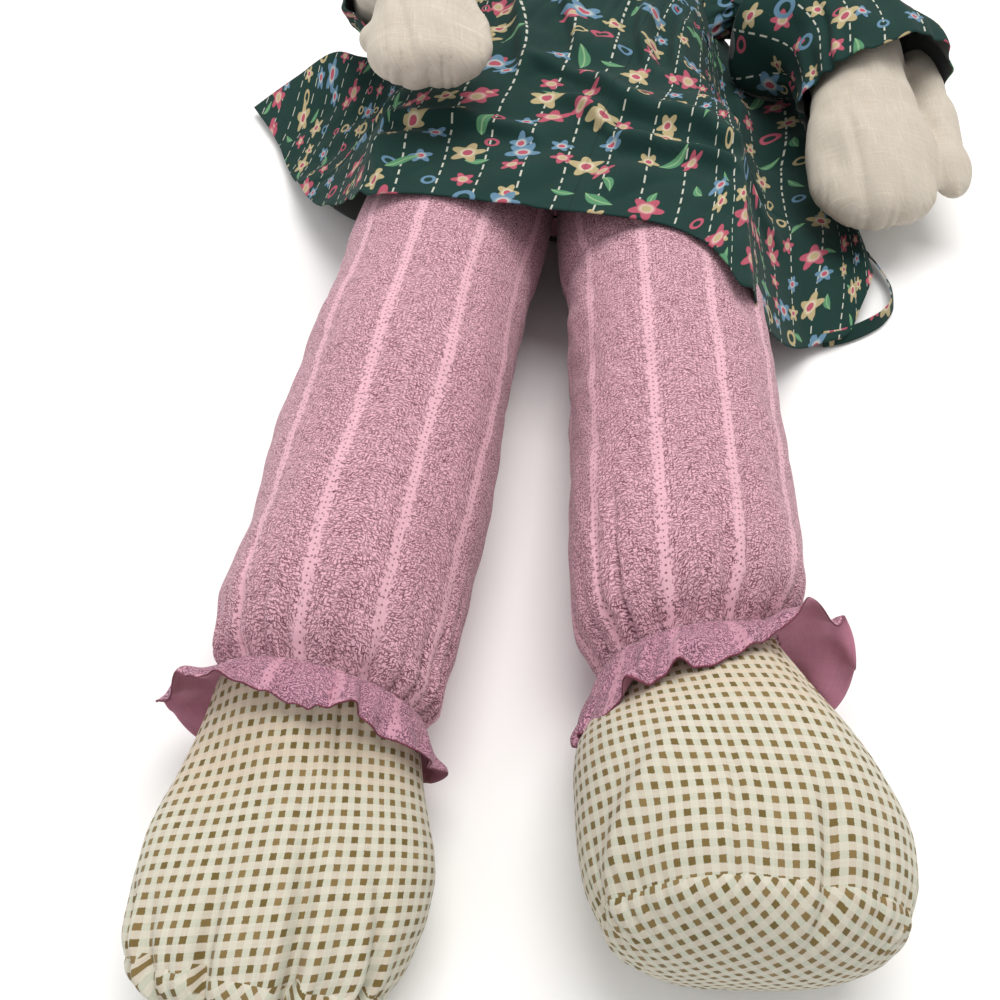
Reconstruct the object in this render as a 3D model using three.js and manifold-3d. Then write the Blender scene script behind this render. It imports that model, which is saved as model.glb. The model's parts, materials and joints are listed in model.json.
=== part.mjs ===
// Rag doll lying on its back: stuffed cloth body and limbs, smock dress, ankle ruffles, checked feet.
// Millimetres. +Z is up from the surface it lies on, +Y towards the head, +X towards the doll's left.
import * as THREE from 'three';
import { mergeVertices } from 'three/addons/utils/BufferGeometryUtils.js';
import Module from 'manifold-3d';

// Cloth and fits
const CLOTH = 1.0; // thickness of a cloth wall
const FIT = 0.3; // clearance between two layers that touch
const DRESS_EASE = 5; // room between the body and the skirt over it

// Legs: lengths run from the hip seam to the ankle seam
const LEG_LENGTH = 378;
const THIGH_WIDTH = 137;
const SHIN_WIDTH = 134;
const LEG_FLATTENING = 0.87; // a leg's height over its width, lying down
const LEG_GAP = 17; // between the thighs
const LEG_SPLAY = 3; // degrees, each leg outwards
const LEG_SLACK = 17.5; // the right leg lies this much lower than the seam line, the left one higher
const ANKLE_WIDTH = 106;
const ANKLE_HEIGHT = 80;
const ANKLE_CENTRE = 48; // height of the ankle seam's middle over the floor
const ANKLE_GATHER = 16; // length of the gathered band between leg and foot
const ANKLE_TAPER = 74; // the leg starts to narrow this far above the ankle seam

// Feet
const FOOT_WIDTH = 148;
const FOOT_DEPTH = 120; // ankle seam to sole seam
const SOLE_BULGE = 22;
const UPRIGHT_FOOT_HEIGHT = 111; // left foot: its toes point up
const FLOPPED_FOOT_HEIGHT = 76; // right foot: it has flopped towards the viewer
const FLOPPED_FOOT_REACH = 5; // how much further the flopped foot reaches
const UPRIGHT_FOOT_SWAY = 18; // how far each foot leans to the doll's left
const FLOPPED_FOOT_SWAY = 10;
const UPRIGHT_SOLE_LEAN = 0.12; // slant of the sole seam: back on the upright foot, forward on the other
const FLOPPED_SOLE_LEAN = -0.35;

// Ankle ruffles
const RUFFLE_WIDTH = 24;
const RUFFLE_WAVES = 9;
const RUFFLE_WAVE_HEIGHT = 5;
const RUFFLE_LEAN = 0.45; // towards the foot, for each mm of width

// Torso: heights along the body from the hip seam
const TORSO_LENGTH = 366; // hip seam to neck seam
const WAIST_WIDTH = 236;
const CHEST_WIDTH = 242;
const BODY_HEIGHT = 119; // thickness of the stuffed body, lying down
const HIP_TAB_GAP = 31; // unstuffed strip between the body and a leg
const HIP_TAB_WIDTH = 96;
const SEAM_HEIGHT = 10; // thickness where a stuffed piece is sewn flat
const NECK_LENGTH = 24;
const NECK_WIDTH = 66;
const NECK_HEIGHT = 44;

// Head and hair
const HEAD_LENGTH = 212;
const HEAD_WIDTH = 184;
const HEAD_HEIGHT = 142;
const HAIR_THICKNESS = 10;
const HAIR_EASE = 3.8; // between the head and the yarn

// Arms: lengths run from the shoulder tab to the finger tips
const SHOULDER_TAB_LENGTH = 30;
const SHOULDER_TAB_WIDTH = 26;
const SHOULDER_DROP = 34; // shoulder tab below the neck seam
const ARM_REACH = 300; // along the body
const ELBOW_OUT = 36; // elbow outside the shoulder tab's end
const UPPER_ARM_WIDTH = 80;
const WRIST_WIDTH = 70;
const HAND_WIDTH = 104;
const HAND_HEIGHT = 46;
const THUMB_WIDTH = 34;
const THUMB_LENGTH = 74;
const LEFT_ARM_TURN = 10.7; // degrees outwards, beside the body
const LEFT_ARM_BOW = 24; // how far its elbow bows outwards
const RIGHT_ARM_TURN = -19; // inwards, over the lap
const RIGHT_ARM_BOW = -4;

// Dress
const YOKE_LENGTH = 96;
const YOKE_RISE = 10; // over the shoulder tab
const NECKLINE_DROP = 10; // below the neck seam
const SKIRT_LENGTH = 318; // yoke seam to hem, at the middle of the front
const SKIRT_LEFT_FLARE = 105; // how far the hem spreads past the hips
const SKIRT_RIGHT_FLARE = 151;
const SKIRT_SWEEP = 270; // how far the right hem corner is swept up the body
const SKIRT_LIFT = 49; // the same at the left corner
const SKIRT_FOLDS = 7;
const SKIRT_FOLD_HEIGHT = 11;
const SKIRT_EDGE_HEIGHT = 11; // front layer over the floor at the skirt's sides
const SKIRT_CROWN = 3.2; // how squarely the skirt lies over the body: 2 is an ellipse
const SKIRT_OVER_BODY = 0.68; // share of each half of the front that lies over the body
const LAP_EASE = 8; // extra room over the thighs
const HEM_STEP = 28; // length over which the legs come down to the floor below the hem
const SLEEVE_START = 0.15; // shares of the arm's length
const SLEEVE_LENGTH = 0.56;
const SLEEVE_SEAT = 1; // room at the sleeve's upper end
const SLEEVE_EASE = 3; // and below it
const SLEEVE_FLARE = 10;
const SLEEVE_WAVES = 5;

// Facets
const SIDES = 14;
const ARC_STEPS = 9;
const SKIRT_FRONT_STEPS = 28;
const SKIRT_BACK_STEPS = 8;
const SKIRT_ROWS = 8;

const radians = THREE.MathUtils.degToRad;
const clamp = THREE.MathUtils.clamp;
const ease = THREE.MathUtils.smoothstep;
const wasm = await Module();
wasm.setup();

// Places that more than one piece uses, measured from the hip seam
const bodyCentre = BODY_HEIGHT / 2 - CLOTH;
const dressRoom = 2 * CLOTH; // what lies under the body, over the floor
const legOffset = (THIGH_WIDTH + LEG_GAP) / 2;
const hipHalf = legOffset + THIGH_WIDTH / 2;
const neckSeam = TORSO_LENGTH;
const shoulderY = TORSO_LENGTH - SHOULDER_DROP;
const yokeY = shoulderY + SHOULDER_TAB_WIDTH / 2 - YOKE_LENGTH + YOKE_RISE;
const hemY = yokeY - SKIRT_LENGTH;
const lapHeight = bodyCentre + BODY_HEIGHT / 2 + DRESS_EASE + LAP_EASE + SKIRT_FOLD_HEIGHT;

// Rows of numbers through a few stations, by a Catmull-Rom curve
function through(stations, steps) {
  const last = stations.length - 1;
  const rows = [];
  for (let i = 0; i <= steps; i++) {
    const t = (i / steps) * last;
    const k = Math.min(Math.floor(t), last - 1);
    const f = t - k;
    const [a, b, c, d] = [k - 1, k, k + 1, k + 2].map((n) => stations[clamp(n, 0, last)]);
    rows.push(b.map((_, n) => catmullRom(a[n], b[n], c[n], d[n], f)));
  }
  return rows;
}

function catmullRom(a, b, c, d, f) {
  const inTangent = (c - a) / 2;
  const outTangent = (d - b) / 2;
  const cubic = 2 * b - 2 * c + inTangent + outTangent;
  const square = -3 * b + 3 * c - 2 * inTangent - outTangent;
  return ((cubic * f + square) * f + inTangent) * f + b;
}

// One value out of rows that are sorted by their first number
function lookUp(rows, at, column) {
  const rising = rows[rows.length - 1][0] > rows[0][0] ? rows : [...rows].reverse();
  const next = rising.findIndex((row) => row[0] >= at);
  if (next === 0) return rising[0][column];
  if (next < 0) return rising[rising.length - 1][column];
  const share = (at - rising[next - 1][0]) / (rising[next][0] - rising[next - 1][0]);
  return THREE.MathUtils.lerp(rising[next - 1][column], rising[next][column], share);
}

// The rows with one more between them, on the same straight facets
function withRow(rows, at) {
  const next = rows.findIndex((row) => row[0] > at);
  const added = rows[next].map((_, column) => (column ? lookUp(rows, at, column) : at));
  return [...rows.slice(0, next), added, ...rows.slice(next)];
}

// A ring of a stuffed piece, from a row of place, half width, half height and centre height.
// It is an ellipse that lies flat where it meets the floor.
function ring([place, halfWidth, halfHeight, centre], inset = 0, floor = 0) {
  const points = [];
  for (let i = 0; i < SIDES; i++) {
    const angle = ((i + 0.5) / SIDES) * 2 * Math.PI - Math.PI / 2;
    points.push(onEllipse(place, halfWidth - inset, halfHeight - inset, centre, angle, floor + inset));
  }
  return points;
}

// The front or back half of such a ring, kept half a clearance off the side seam
function arc([place, halfWidth, halfHeight, centre], inset, floor, side) {
  const points = [];
  for (let i = 0; i <= ARC_STEPS; i++) {
    const turn = side > 0 ? 0 : Math.PI;
    const angle = turn + (i / ARC_STEPS) * Math.PI;
    const point = onEllipse(place, halfWidth - inset, halfHeight - inset, centre, angle, floor + inset);
    point.z += (side * FIT) / 2;
    points.push(point);
  }
  return points;
}

// A whole ring with the corners of its front and back halves
function seamedRing(row, inset, floor) {
  return [...arc(row, inset, floor, 1), ...arc(row, inset, floor, -1)];
}

function onEllipse(place, halfWidth, halfHeight, centre, angle, floor) {
  const z = centre + halfHeight * Math.sin(angle);
  return new THREE.Vector3(halfWidth * Math.cos(angle), place, Math.max(z, floor));
}

// Faces between two rows of points that start at a and b, turned over for an inner side.
// Both sides of a wall, and what fills it, split their quads along the same diagonals.
function strip(index, a, b, count, closed, inside = false) {
  const pairs = closed ? count : count - 1;
  for (let i = 0; i < pairs; i++) {
    const j = (i + 1) % count;
    const faces = [a + i, a + j, b + j, a + i, b + j, b + i];
    index.push(...(inside ? faces.reverse() : faces));
  }
}

function geometry(points, index) {
  const shape = new THREE.BufferGeometry();
  const sixTimesVolume = index.reduce((sum, _, n) => sum + (n % 3 ? 0 : tetrahedron(points, index, n)), 0);
  const outward = sixTimesVolume > 0 ? index : [...index].reverse();
  const places = points.flatMap((p) => [p.x, p.y, p.z]);
  shape.setAttribute('position', new THREE.Float32BufferAttribute(places, 3));
  shape.setIndex(outward);
  shape.computeVertexNormals();
  return shape;
}

function tetrahedron(points, index, n) {
  const [a, b, c] = [0, 1, 2].map((k) => points[index[n + k]]);
  return a.dot(new THREE.Vector3().crossVectors(b, c));
}

// A stuffed solid through closed rings, with its ends closed
function stuffed(rings) {
  const count = rings[0].length;
  const points = rings.flat();
  const index = [];
  for (let k = 0; k + 1 < rings.length; k++) strip(index, k * count, (k + 1) * count, count, true);
  for (const [k, turn] of [[0, 1], [rings.length - 1, -1]]) {
    const middle = points.length;
    points.push(rings[k].reduce((sum, p) => sum.add(p), new THREE.Vector3()).divideScalar(count));
    for (let i = 0; i < count; i++) {
      const edge = [k * count + i, k * count + ((i + 1) % count)];
      index.push(middle, edge[turn > 0 ? 1 : 0], edge[turn > 0 ? 0 : 1]);
    }
  }
  return geometry(points, index);
}

// A cloth tube that is open at both ends
function tube(outer, inner) {
  return wall(outer, inner, true);
}

// A cloth panel with four free edges
function panel(outer, inner) {
  return wall(outer, inner, false);
}

function wall(outer, inner, closed) {
  const count = outer[0].length;
  const last = outer.length - 1;
  const shift = outer.length * count;
  const points = [...outer.flat(), ...inner.flat()];
  const index = [];
  for (let k = 0; k < last; k++) {
    strip(index, k * count, (k + 1) * count, count, closed);
    strip(index, shift + k * count, shift + (k + 1) * count, count, closed, true);
  }
  strip(index, shift, 0, count, closed);
  strip(index, last * count, shift + last * count, count, closed);
  if (!closed) {
    for (let k = 0; k < last; k++) {
      for (const [edge, near, far] of [[0, k, k + 1], [count - 1, k + 1, k]]) {
        const a = near * count + edge;
        const b = far * count + edge;
        index.push(a, b, shift + b, a, shift + b, shift + a);
      }
    }
  }
  return geometry(points, index);
}

// Boolean joins and cuts
function toSolid(shape) {
  const bare = new THREE.BufferGeometry();
  bare.setAttribute('position', shape.getAttribute('position').clone());
  bare.setIndex(shape.getIndex().clone());
  const merged = mergeVertices(bare, 1e-4);
  const vertProperties = new Float32Array(merged.getAttribute('position').array);
  const triVerts = new Uint32Array(merged.getIndex().array);
  return new wasm.Manifold(new wasm.Mesh({ numProp: 3, vertProperties, triVerts }));
}

function fromSolid(solid) {
  const mesh = solid.getMesh();
  const shape = new THREE.BufferGeometry();
  shape.setAttribute('position', new THREE.BufferAttribute(new Float32Array(mesh.vertProperties), 3));
  shape.setIndex(new THREE.BufferAttribute(new Uint32Array(mesh.triVerts), 1));
  shape.computeVertexNormals();
  return shape;
}

// Cloths
const MUSLIN = { color: 0xd9cfbd, roughness: 0.9 };
const PINK_PRINT = { color: 0xc98a9c, roughness: 0.85 };
const GINGHAM = { color: 0xc9c4a0, roughness: 0.85 };
const GREEN_PRINT = { color: 0x1f3a36, roughness: 0.8 };
const STUFFING = { color: 0xf2f0ea, roughness: 1.0 };
const YARN = { color: 0x8a5a36, roughness: 0.95 };

function piece(name, shape, cloth) {
  const material = new THREE.MeshStandardMaterial({ ...cloth, metalness: 0 });
  const mesh = new THREE.Mesh(shape, material);
  mesh.name = name;
  return mesh;
}

// Torso
function torsoRows() {
  const half = BODY_HEIGHT / 2;
  const flat = SEAM_HEIGHT / 2;
  const end = HIP_TAB_GAP / 2;
  const wedge = (half - flat) * 1.1; // a gentle slope leaves room for the legs to fold up
  const rows = through([
    [end, hipHalf - 12, flat, bodyCentre],
    [end + wedge, hipHalf, half - 2, bodyCentre],
    [end + wedge * 1.6, hipHalf - 2, half + 1, bodyCentre],
    [TORSO_LENGTH * 0.5, WAIST_WIDTH / 2, half, bodyCentre],
    [TORSO_LENGTH * 0.74, CHEST_WIDTH / 2, half, bodyCentre],
    [shoulderY, CHEST_WIDTH / 2 - 1, half * 0.78, bodyCentre],
    [neckSeam - 12, CHEST_WIDTH * 0.36, half * 0.55, bodyCentre],
    [neckSeam - NECK_LENGTH / 4, NECK_WIDTH / 2, NECK_HEIGHT / 2, bodyCentre],
  ], 12);
  return withRow(rows, yokeY);
}

function torso() {
  const group = new THREE.Group();
  const rows = torsoRows();
  for (const [name, side] of [['torso_front_panel', 1], ['torso_back_panel', -1]]) {
    const outer = rows.map((row) => arc(row, 0, dressRoom, side));
    const inner = rows.map((row) => arc(row, CLOTH, dressRoom, side));
    group.add(piece(name, panel(outer, inner), MUSLIN));
  }
  const core = rows.map((row) => seamedRing(row, CLOTH + FIT, dressRoom));
  group.add(piece('torso_stuffing', stuffed(core), STUFFING));
  return group;
}

// Neck and head
const headStart = neckSeam + NECK_LENGTH * 0.75;

function neck() {
  const rows = [neckSeam - NECK_LENGTH / 4 + FIT, headStart - FIT].map((place) => [
    place, NECK_WIDTH / 2, NECK_HEIGHT / 2, bodyCentre,
  ]);
  const outer = rows.map((row) => ring(row));
  const inner = rows.map((row) => ring(row, CLOTH));
  return piece('neck_tube', tube(outer, inner), MUSLIN);
}

function headRows() {
  const wide = HEAD_WIDTH / 2;
  const high = HEAD_HEIGHT / 2;
  const centre = HAIR_THICKNESS + high;
  return through([
    [headStart, NECK_WIDTH / 2, NECK_HEIGHT / 2, bodyCentre],
    [headStart + HEAD_LENGTH * 0.08, wide * 0.66, high * 0.62, centre - 4],
    [headStart + HEAD_LENGTH * 0.24, wide * 0.93, high * 0.9, centre],
    [headStart + HEAD_LENGTH * 0.46, wide, high, centre],
    [headStart + HEAD_LENGTH * 0.7, wide * 0.94, high * 0.95, centre],
    [headStart + HEAD_LENGTH * 0.9, wide * 0.66, high * 0.68, centre],
    [headStart + HEAD_LENGTH, wide * 0.1, high * 0.1, centre],
  ], 10);
}

function head() {
  const group = new THREE.Group();
  const rows = headRows();
  for (const [name, side] of [['head_front_panel', 1], ['head_back_panel', -1]]) {
    const outer = rows.map((row) => arc(row, 0, 0, side));
    const inner = rows.map((row) => arc(row, CLOTH, 0, side));
    group.add(piece(name, panel(outer, inner), MUSLIN));
  }
  const core = rows.slice(0, -1).map((row) => seamedRing(row, CLOTH + FIT, 0));
  group.add(piece('head_stuffing', stuffed(core), STUFFING));
  group.add(hair(rows));
  return group;
}

// Yarn hair: a thick cap round the back and sides, closing over the forehead towards the crown
function hair(rows) {
  const outer = [];
  const inner = [];
  const nape = headStart + HEAD_LENGTH * 0.12;
  for (const row of rows.filter(([place]) => place > nape)) {
    const climb = (row[0] - nape) / (headStart + HEAD_LENGTH - nape);
    const open = THREE.MathUtils.lerp(80, 4, ease(climb, 0.1, 0.95)); // half angle left bare for the face
    const from = Math.PI / 2 + radians(open);
    const to = Math.PI / 2 + 2 * Math.PI - radians(open);
    outer.push(hairArc(row, HAIR_THICKNESS, from, to));
    inner.push(hairArc(row, HAIR_EASE, from, to));
  }
  return piece('hair', panel(outer, inner), YARN);
}

function hairArc([place, halfWidth, halfHeight, centre], outset, from, to) {
  const points = [];
  const steps = 2 * ARC_STEPS;
  const floor = HAIR_THICKNESS - outset;
  for (let i = 0; i <= steps; i++) {
    const angle = THREE.MathUtils.lerp(from, to, i / steps);
    const point = onEllipse(place, halfWidth + outset, halfHeight + outset, centre, angle, floor);
    point.y += (outset - HAIR_EASE) * Math.max(0, (place - headStart) / HEAD_LENGTH - 0.6);
    points.push(point);
  }
  return points;
}

// Legs, built down -Y from the hip seam
function legRows() {
  const end = HIP_TAB_GAP / 2;
  const thigh = THIGH_WIDTH / 2;
  const shin = SHIN_WIDTH / 2;
  const middle = (thigh + shin) / 2;
  const flat = SEAM_HEIGHT / 2;
  const wedge = (thigh * LEG_FLATTENING - flat) * 0.87;
  const centre = bodyCentre;
  return through([
    [-end, thigh * 0.8, flat, centre],
    [-end - wedge, thigh, thigh * LEG_FLATTENING - 3, centre],
    [-LEG_LENGTH * 0.275, thigh, thigh * LEG_FLATTENING, centre],
    [-LEG_LENGTH * 0.6, middle, middle * LEG_FLATTENING, middle * LEG_FLATTENING - CLOTH],
    [-LEG_LENGTH + ANKLE_TAPER, shin, shin * LEG_FLATTENING, shin * LEG_FLATTENING - CLOTH],
    [-LEG_LENGTH + ANKLE_TAPER * 0.43, shin * 0.95, shin * 0.78, ANKLE_CENTRE + 6],
    [-LEG_LENGTH + ANKLE_GATHER / 2, ANKLE_WIDTH / 2, ANKLE_HEIGHT / 2, ANKLE_CENTRE],
  ], 12);
}

// The dress lies under the thighs, so they lie that much higher
function legRing(row, inset) {
  return ring(row, inset, dressRoom * ease(row[0], hemY - 1.4 * HEM_STEP, hemY - 0.4 * HEM_STEP));
}

function leg(side) {
  const group = new THREE.Group();
  const rows = legRows();
  const outer = rows.map((row) => legRing(row, 0));
  const inner = rows.map((row) => legRing(row, CLOTH));
  const core = rows.map((row) => legRing(row, CLOTH + FIT));
  group.add(piece(`${side}_leg_casing`, tube(outer, inner), PINK_PRINT));
  group.add(piece(`${side}_leg_stuffing`, stuffed(core), STUFFING));
  return group;
}

// Gathered ruffle: a band that bridges the ankle seam, with a waved frill standing out of it
function ruffle(side) {
  const steps = RUFFLE_WAVES * 4;
  const turns = Array.from({ length: steps }, (_, i) => (i / steps) * 2 * Math.PI);
  const band = ANKLE_GATHER / 2 - FIT;
  const thick = CLOTH / 2;
  const ringAt = (out, along) => turns.map((angle) => ruffleAt(angle, out, along));
  const frillAt = (along) => [ringAt(-thick, along), turns.map((angle) => ruffleEdge(angle, along))];
  const seam = tube([ringAt(0, band), ringAt(0, -band)], [ringAt(-CLOTH, band), ringAt(-CLOTH, -band)]);
  const frill = tube(frillAt(thick), frillAt(-thick));
  return piece(`${side}_ankle_ruffle`, fromSolid(toSolid(seam).add(toSolid(frill))), PINK_PRINT);
}

function ruffleAt(angle, out, along) {
  const x = (ANKLE_WIDTH / 2 + out) * Math.cos(angle);
  const z = ANKLE_CENTRE + (ANKLE_HEIGHT / 2 + out) * Math.sin(angle);
  return new THREE.Vector3(x, -LEG_LENGTH + along, z);
}

// The frill's free edge; under the ankle the floor leaves it less width
function ruffleEdge(angle, along) {
  const down = Math.max(-Math.sin(angle), 0.01);
  const width = Math.min(RUFFLE_WIDTH, (ANKLE_CENTRE - FIT) / down - ANKLE_HEIGHT / 2);
  const wave = RUFFLE_WAVE_HEIGHT * Math.sin(RUFFLE_WAVES * angle) - RUFFLE_WIDTH * RUFFLE_LEAN;
  return ruffleAt(angle, width, wave + along);
}

// Feet, built down -Y from the ankle seam in the leg's own frame
function footRows(height, reach) {
  const wide = FOOT_WIDTH / 2;
  const high = height / 2;
  const depth = FOOT_DEPTH + reach;
  const start = ANKLE_GATHER / 2;
  const centre = high - CLOTH;
  const ankle = ANKLE_HEIGHT / 2;
  const at = (share) => -LEG_LENGTH - THREE.MathUtils.lerp(start, depth, share);
  return through([
    [at(0), ANKLE_WIDTH / 2, ankle, ANKLE_CENTRE],
    [at(0.2), wide * 0.82, (ankle + high) * 0.48, (ANKLE_CENTRE + centre) / 2],
    [at(0.45), wide * 0.95, high * 0.95, centre],
    [at(0.7), wide, high, centre],
    [at(0.88), wide * 0.965, high * 0.965, centre],
    [at(1), wide * 0.87, high * 0.87, centre],
  ], 8);
}

// A foot's loops lean aside and its sole seam is slanted, both more towards the toes
function leaned(points, row, { lean, sway }, share) {
  const slant = lean * ease(share, 0.3, 1);
  const aside = sway * ease(share, 0, 0.8);
  return points.map((p) => new THREE.Vector3(p.x + aside, p.y + (p.z - row[3]) * slant, p.z));
}

function foot(side, pose) {
  const group = new THREE.Group();
  const rows = footRows(pose.height, pose.reach);
  const last = rows.length - 1;
  const loop = (row, k, inset) => leaned(ring(row, inset), row, pose, k / last);
  const outer = rows.map((row, k) => loop(row, k, 0));
  const inner = rows.map((row, k) => loop(row, k, CLOTH));
  group.add(piece(`${side}_foot_upper`, tube(outer, inner), GINGHAM));

  const rim = rows[last];
  const dome = (inset, push) => [1, 0.86, 0.6, 0.25].map((share) => {
    const bulge = SOLE_BULGE * Math.sqrt(1 - share * share);
    const row = [rim[0] - bulge - push, rim[1] * share, rim[2] * share, rim[3]];
    return leaned(ring(row, inset * share), row, pose, 1);
  });
  const outside = dome(0, FIT);
  const inside = dome(CLOTH, FIT - CLOTH);
  inside[0] = leaned(ring([rim[0] - FIT, rim[1], rim[2], rim[3]], CLOTH), rim, pose, 1);
  group.add(piece(`${side}_foot_sole`, soleShell(outside, inside), GINGHAM));

  const core = rows.slice(0, -1).map((row, k) => loop(row, k, CLOTH + FIT));
  const crown = dome(CLOTH + FIT, -CLOTH).slice(1);
  group.add(piece(`${side}_foot_stuffing`, stuffed([...core, ...crown]), STUFFING));
  return group;
}

// A dished sole: two domes closed at their middles and joined at the rim
function soleShell(outside, inside) {
  const count = outside[0].length;
  const rings = [...[...outside].reverse(), ...inside];
  const points = rings.flat();
  const index = [];
  for (let k = 0; k + 1 < rings.length; k++) strip(index, k * count, (k + 1) * count, count, true);
  for (const [k, turn] of [[0, 0], [rings.length - 1, 1]]) {
    const middle = points.length;
    points.push(rings[k].reduce((sum, p) => sum.add(p), new THREE.Vector3()).divideScalar(count));
    for (let i = 0; i < count; i++) {
      const edge = [k * count + i, k * count + ((i + 1) % count)];
      index.push(middle, edge[1 - turn], edge[turn]);
    }
  }
  return geometry(points, index);
}

// Flat strip between the body and a leg, cut to the leg's slant
function hipTab(side, sign, slack) {
  const half = HIP_TAB_WIDTH / 2;
  const near = HIP_TAB_GAP / 2 - FIT;
  const far = -HIP_TAB_GAP / 2 - slack + FIT;
  const slant = sign * half * Math.tan(radians(LEG_SPLAY));
  const shape = new THREE.Shape();
  shape.moveTo(-half, near);
  shape.lineTo(-half, far - slant);
  shape.lineTo(half, far + slant);
  shape.lineTo(half, near);
  shape.closePath();
  const flat = new THREE.ExtrudeGeometry(shape, { depth: 2 * CLOTH, bevelEnabled: false });
  flat.translate(sign * legOffset, 0, bodyCentre - CLOTH);
  return piece(`${side}_hip_tab`, flat, PINK_PRINT);
}

function legSet(side, sign, slack, pose) {
  const set = new THREE.Group();
  const limb = new THREE.Group();
  limb.add(leg(side), ruffle(side), foot(side, pose));
  limb.position.set(sign * legOffset, -slack, 0);
  limb.rotation.z = sign * radians(LEG_SPLAY);
  set.add(limb, hipTab(side, sign, slack));
  return set;
}

// Arms: a path in the plane of the arm, from the shoulder tab out and down to the finger tips.
// Local X runs away from the body, local Y towards the head, and the origin is the tab's pivot.
function armPath(bow, heights) {
  const out = SHOULDER_TAB_LENGTH;
  const shares = [[0, 0], [0.42, 0.047], [0.78, 0.16], [1, 0.36], [0.94, 0.62], [0.83, 1]];
  const places = shares.map(([aside, along]) => [out + aside * ELBOW_OUT, -along * ARM_REACH]);
  const points = places.map(([x, y], k) => {
    const share = k / (places.length - 1);
    return new THREE.Vector3(x + bow * Math.sin(Math.PI * share), y, heights[k]);
  });
  return new THREE.CatmullRomCurve3(points, false, 'centripetal');
}

// Rows of arm: share of the path, half width, half height
function armRows() {
  const upper = UPPER_ARM_WIDTH / 2;
  const wrist = WRIST_WIDTH / 2;
  const hand = HAND_WIDTH / 2;
  const thick = HAND_HEIGHT / 2;
  return through([
    [0, SHOULDER_TAB_WIDTH / 2, SEAM_HEIGHT / 2],
    [0.1, upper * 0.8, upper * 0.72],
    [0.24, upper, upper * 0.95],
    [0.46, upper * 0.96, upper * 0.92],
    [0.62, wrist, wrist * 0.86],
    [0.76, hand * 0.96, thick],
    [0.9, hand * 0.97, thick * 0.96],
    [0.975, hand * 0.66, thick * 0.66],
    [1, hand * 0.3, thick * 0.3],
  ], 12);
}

function armLoop(path, [share, halfWidth, halfHeight], outset, sides = SIDES) {
  const at = clamp(share, 0, 1);
  const along = path.getTangentAt(at);
  const centre = path.getPointAt(at).addScaledVector(along, at === 1 ? outset : 0);
  const across = new THREE.Vector3().crossVectors(along, new THREE.Vector3(0, 0, 1)).normalize();
  const up = new THREE.Vector3().crossVectors(across, along);
  const points = [];
  for (let i = 0; i < sides; i++) {
    const angle = ((i + 0.5) / sides) * 2 * Math.PI - Math.PI / 2;
    const x = (halfWidth + outset) * Math.cos(angle);
    const y = (halfHeight + outset) * Math.sin(angle);
    points.push(centre.clone().addScaledVector(across, x).addScaledVector(up, y));
  }
  return points;
}

// The thumb lies along the outer edge of the mitten
function thumb(path, outset) {
  const start = path.getPointAt(0.7);
  const end = path.getPointAt(0.93);
  const along = new THREE.Vector3().subVectors(end, start).normalize();
  const across = new THREE.Vector3().crossVectors(new THREE.Vector3(0, 0, 1), along).normalize();
  const radius = THUMB_WIDTH / 2;
  const root = start.clone().addScaledVector(across, HAND_WIDTH * 0.3);
  const tip = root.clone().addScaledVector(along, THUMB_LENGTH).addScaledVector(across, HAND_WIDTH * 0.26);
  const axis = new THREE.LineCurve3(root, tip);
  const rows = [[0, 0.7], [0.25, 1], [0.7, 1.02], [0.9, 0.74], [1, 0.4]];
  const sized = rows.map(([share, size]) => [share, radius * size, radius * size * 0.9]);
  return stuffed(sized.map((row) => armLoop(axis, row, outset, 10)));
}

function armSolid(path, outset, overrun) {
  const loops = armRows().map((row) => armLoop(path, row, outset));
  if (overrun) {
    const back = path.getTangentAt(0).multiplyScalar(-overrun);
    loops.unshift(loops[0].map((p) => p.clone().add(back)));
  }
  return toSolid(stuffed(loops)).add(toSolid(thumb(path, outset)));
}

function arm(side, path) {
  const group = new THREE.Group();
  const casing = armSolid(path, 0, 0).subtract(armSolid(path, -CLOTH, 2 * CLOTH));
  const core = armSolid(path, -CLOTH - 2 * FIT, 0);
  group.add(piece(`${side}_arm_casing`, fromSolid(casing), MUSLIN));
  group.add(piece(`${side}_arm_stuffing`, fromSolid(core), STUFFING));
  group.add(sleeve(side, path));
  return group;
}

// Sleeve: a loose tube round the arm that flares to a waved hem
function sleeve(side, path) {
  const rows = armRows();
  const steps = 5;
  const sides = SIDES + 4;
  const loops = (outset) => Array.from({ length: steps + 1 }, (_, k) => {
    const share = THREE.MathUtils.lerp(SLEEVE_START, SLEEVE_LENGTH, k / steps);
    const flare = SLEEVE_FLARE * ease(k / steps, 0.3, 1);
    const slack = THREE.MathUtils.lerp(SLEEVE_SEAT, SLEEVE_EASE, Math.min(1, k));
    const row = [share, lookUp(rows, share, 1), lookUp(rows, share, 2)];
    const ringPoints = armLoop(path, row, slack + flare + outset, sides);
    const centre = path.getPointAt(share);
    return ringPoints.map((p, i) => {
      const wave = 1 + 0.05 * (flare / SLEEVE_FLARE) * Math.sin((SLEEVE_WAVES * 2 * Math.PI * i) / sides);
      return centre.clone().lerp(p, wave);
    });
  });
  return piece(`${side}_sleeve`, tube(loops(CLOTH), loops(0)), GREEN_PRINT);
}

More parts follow.
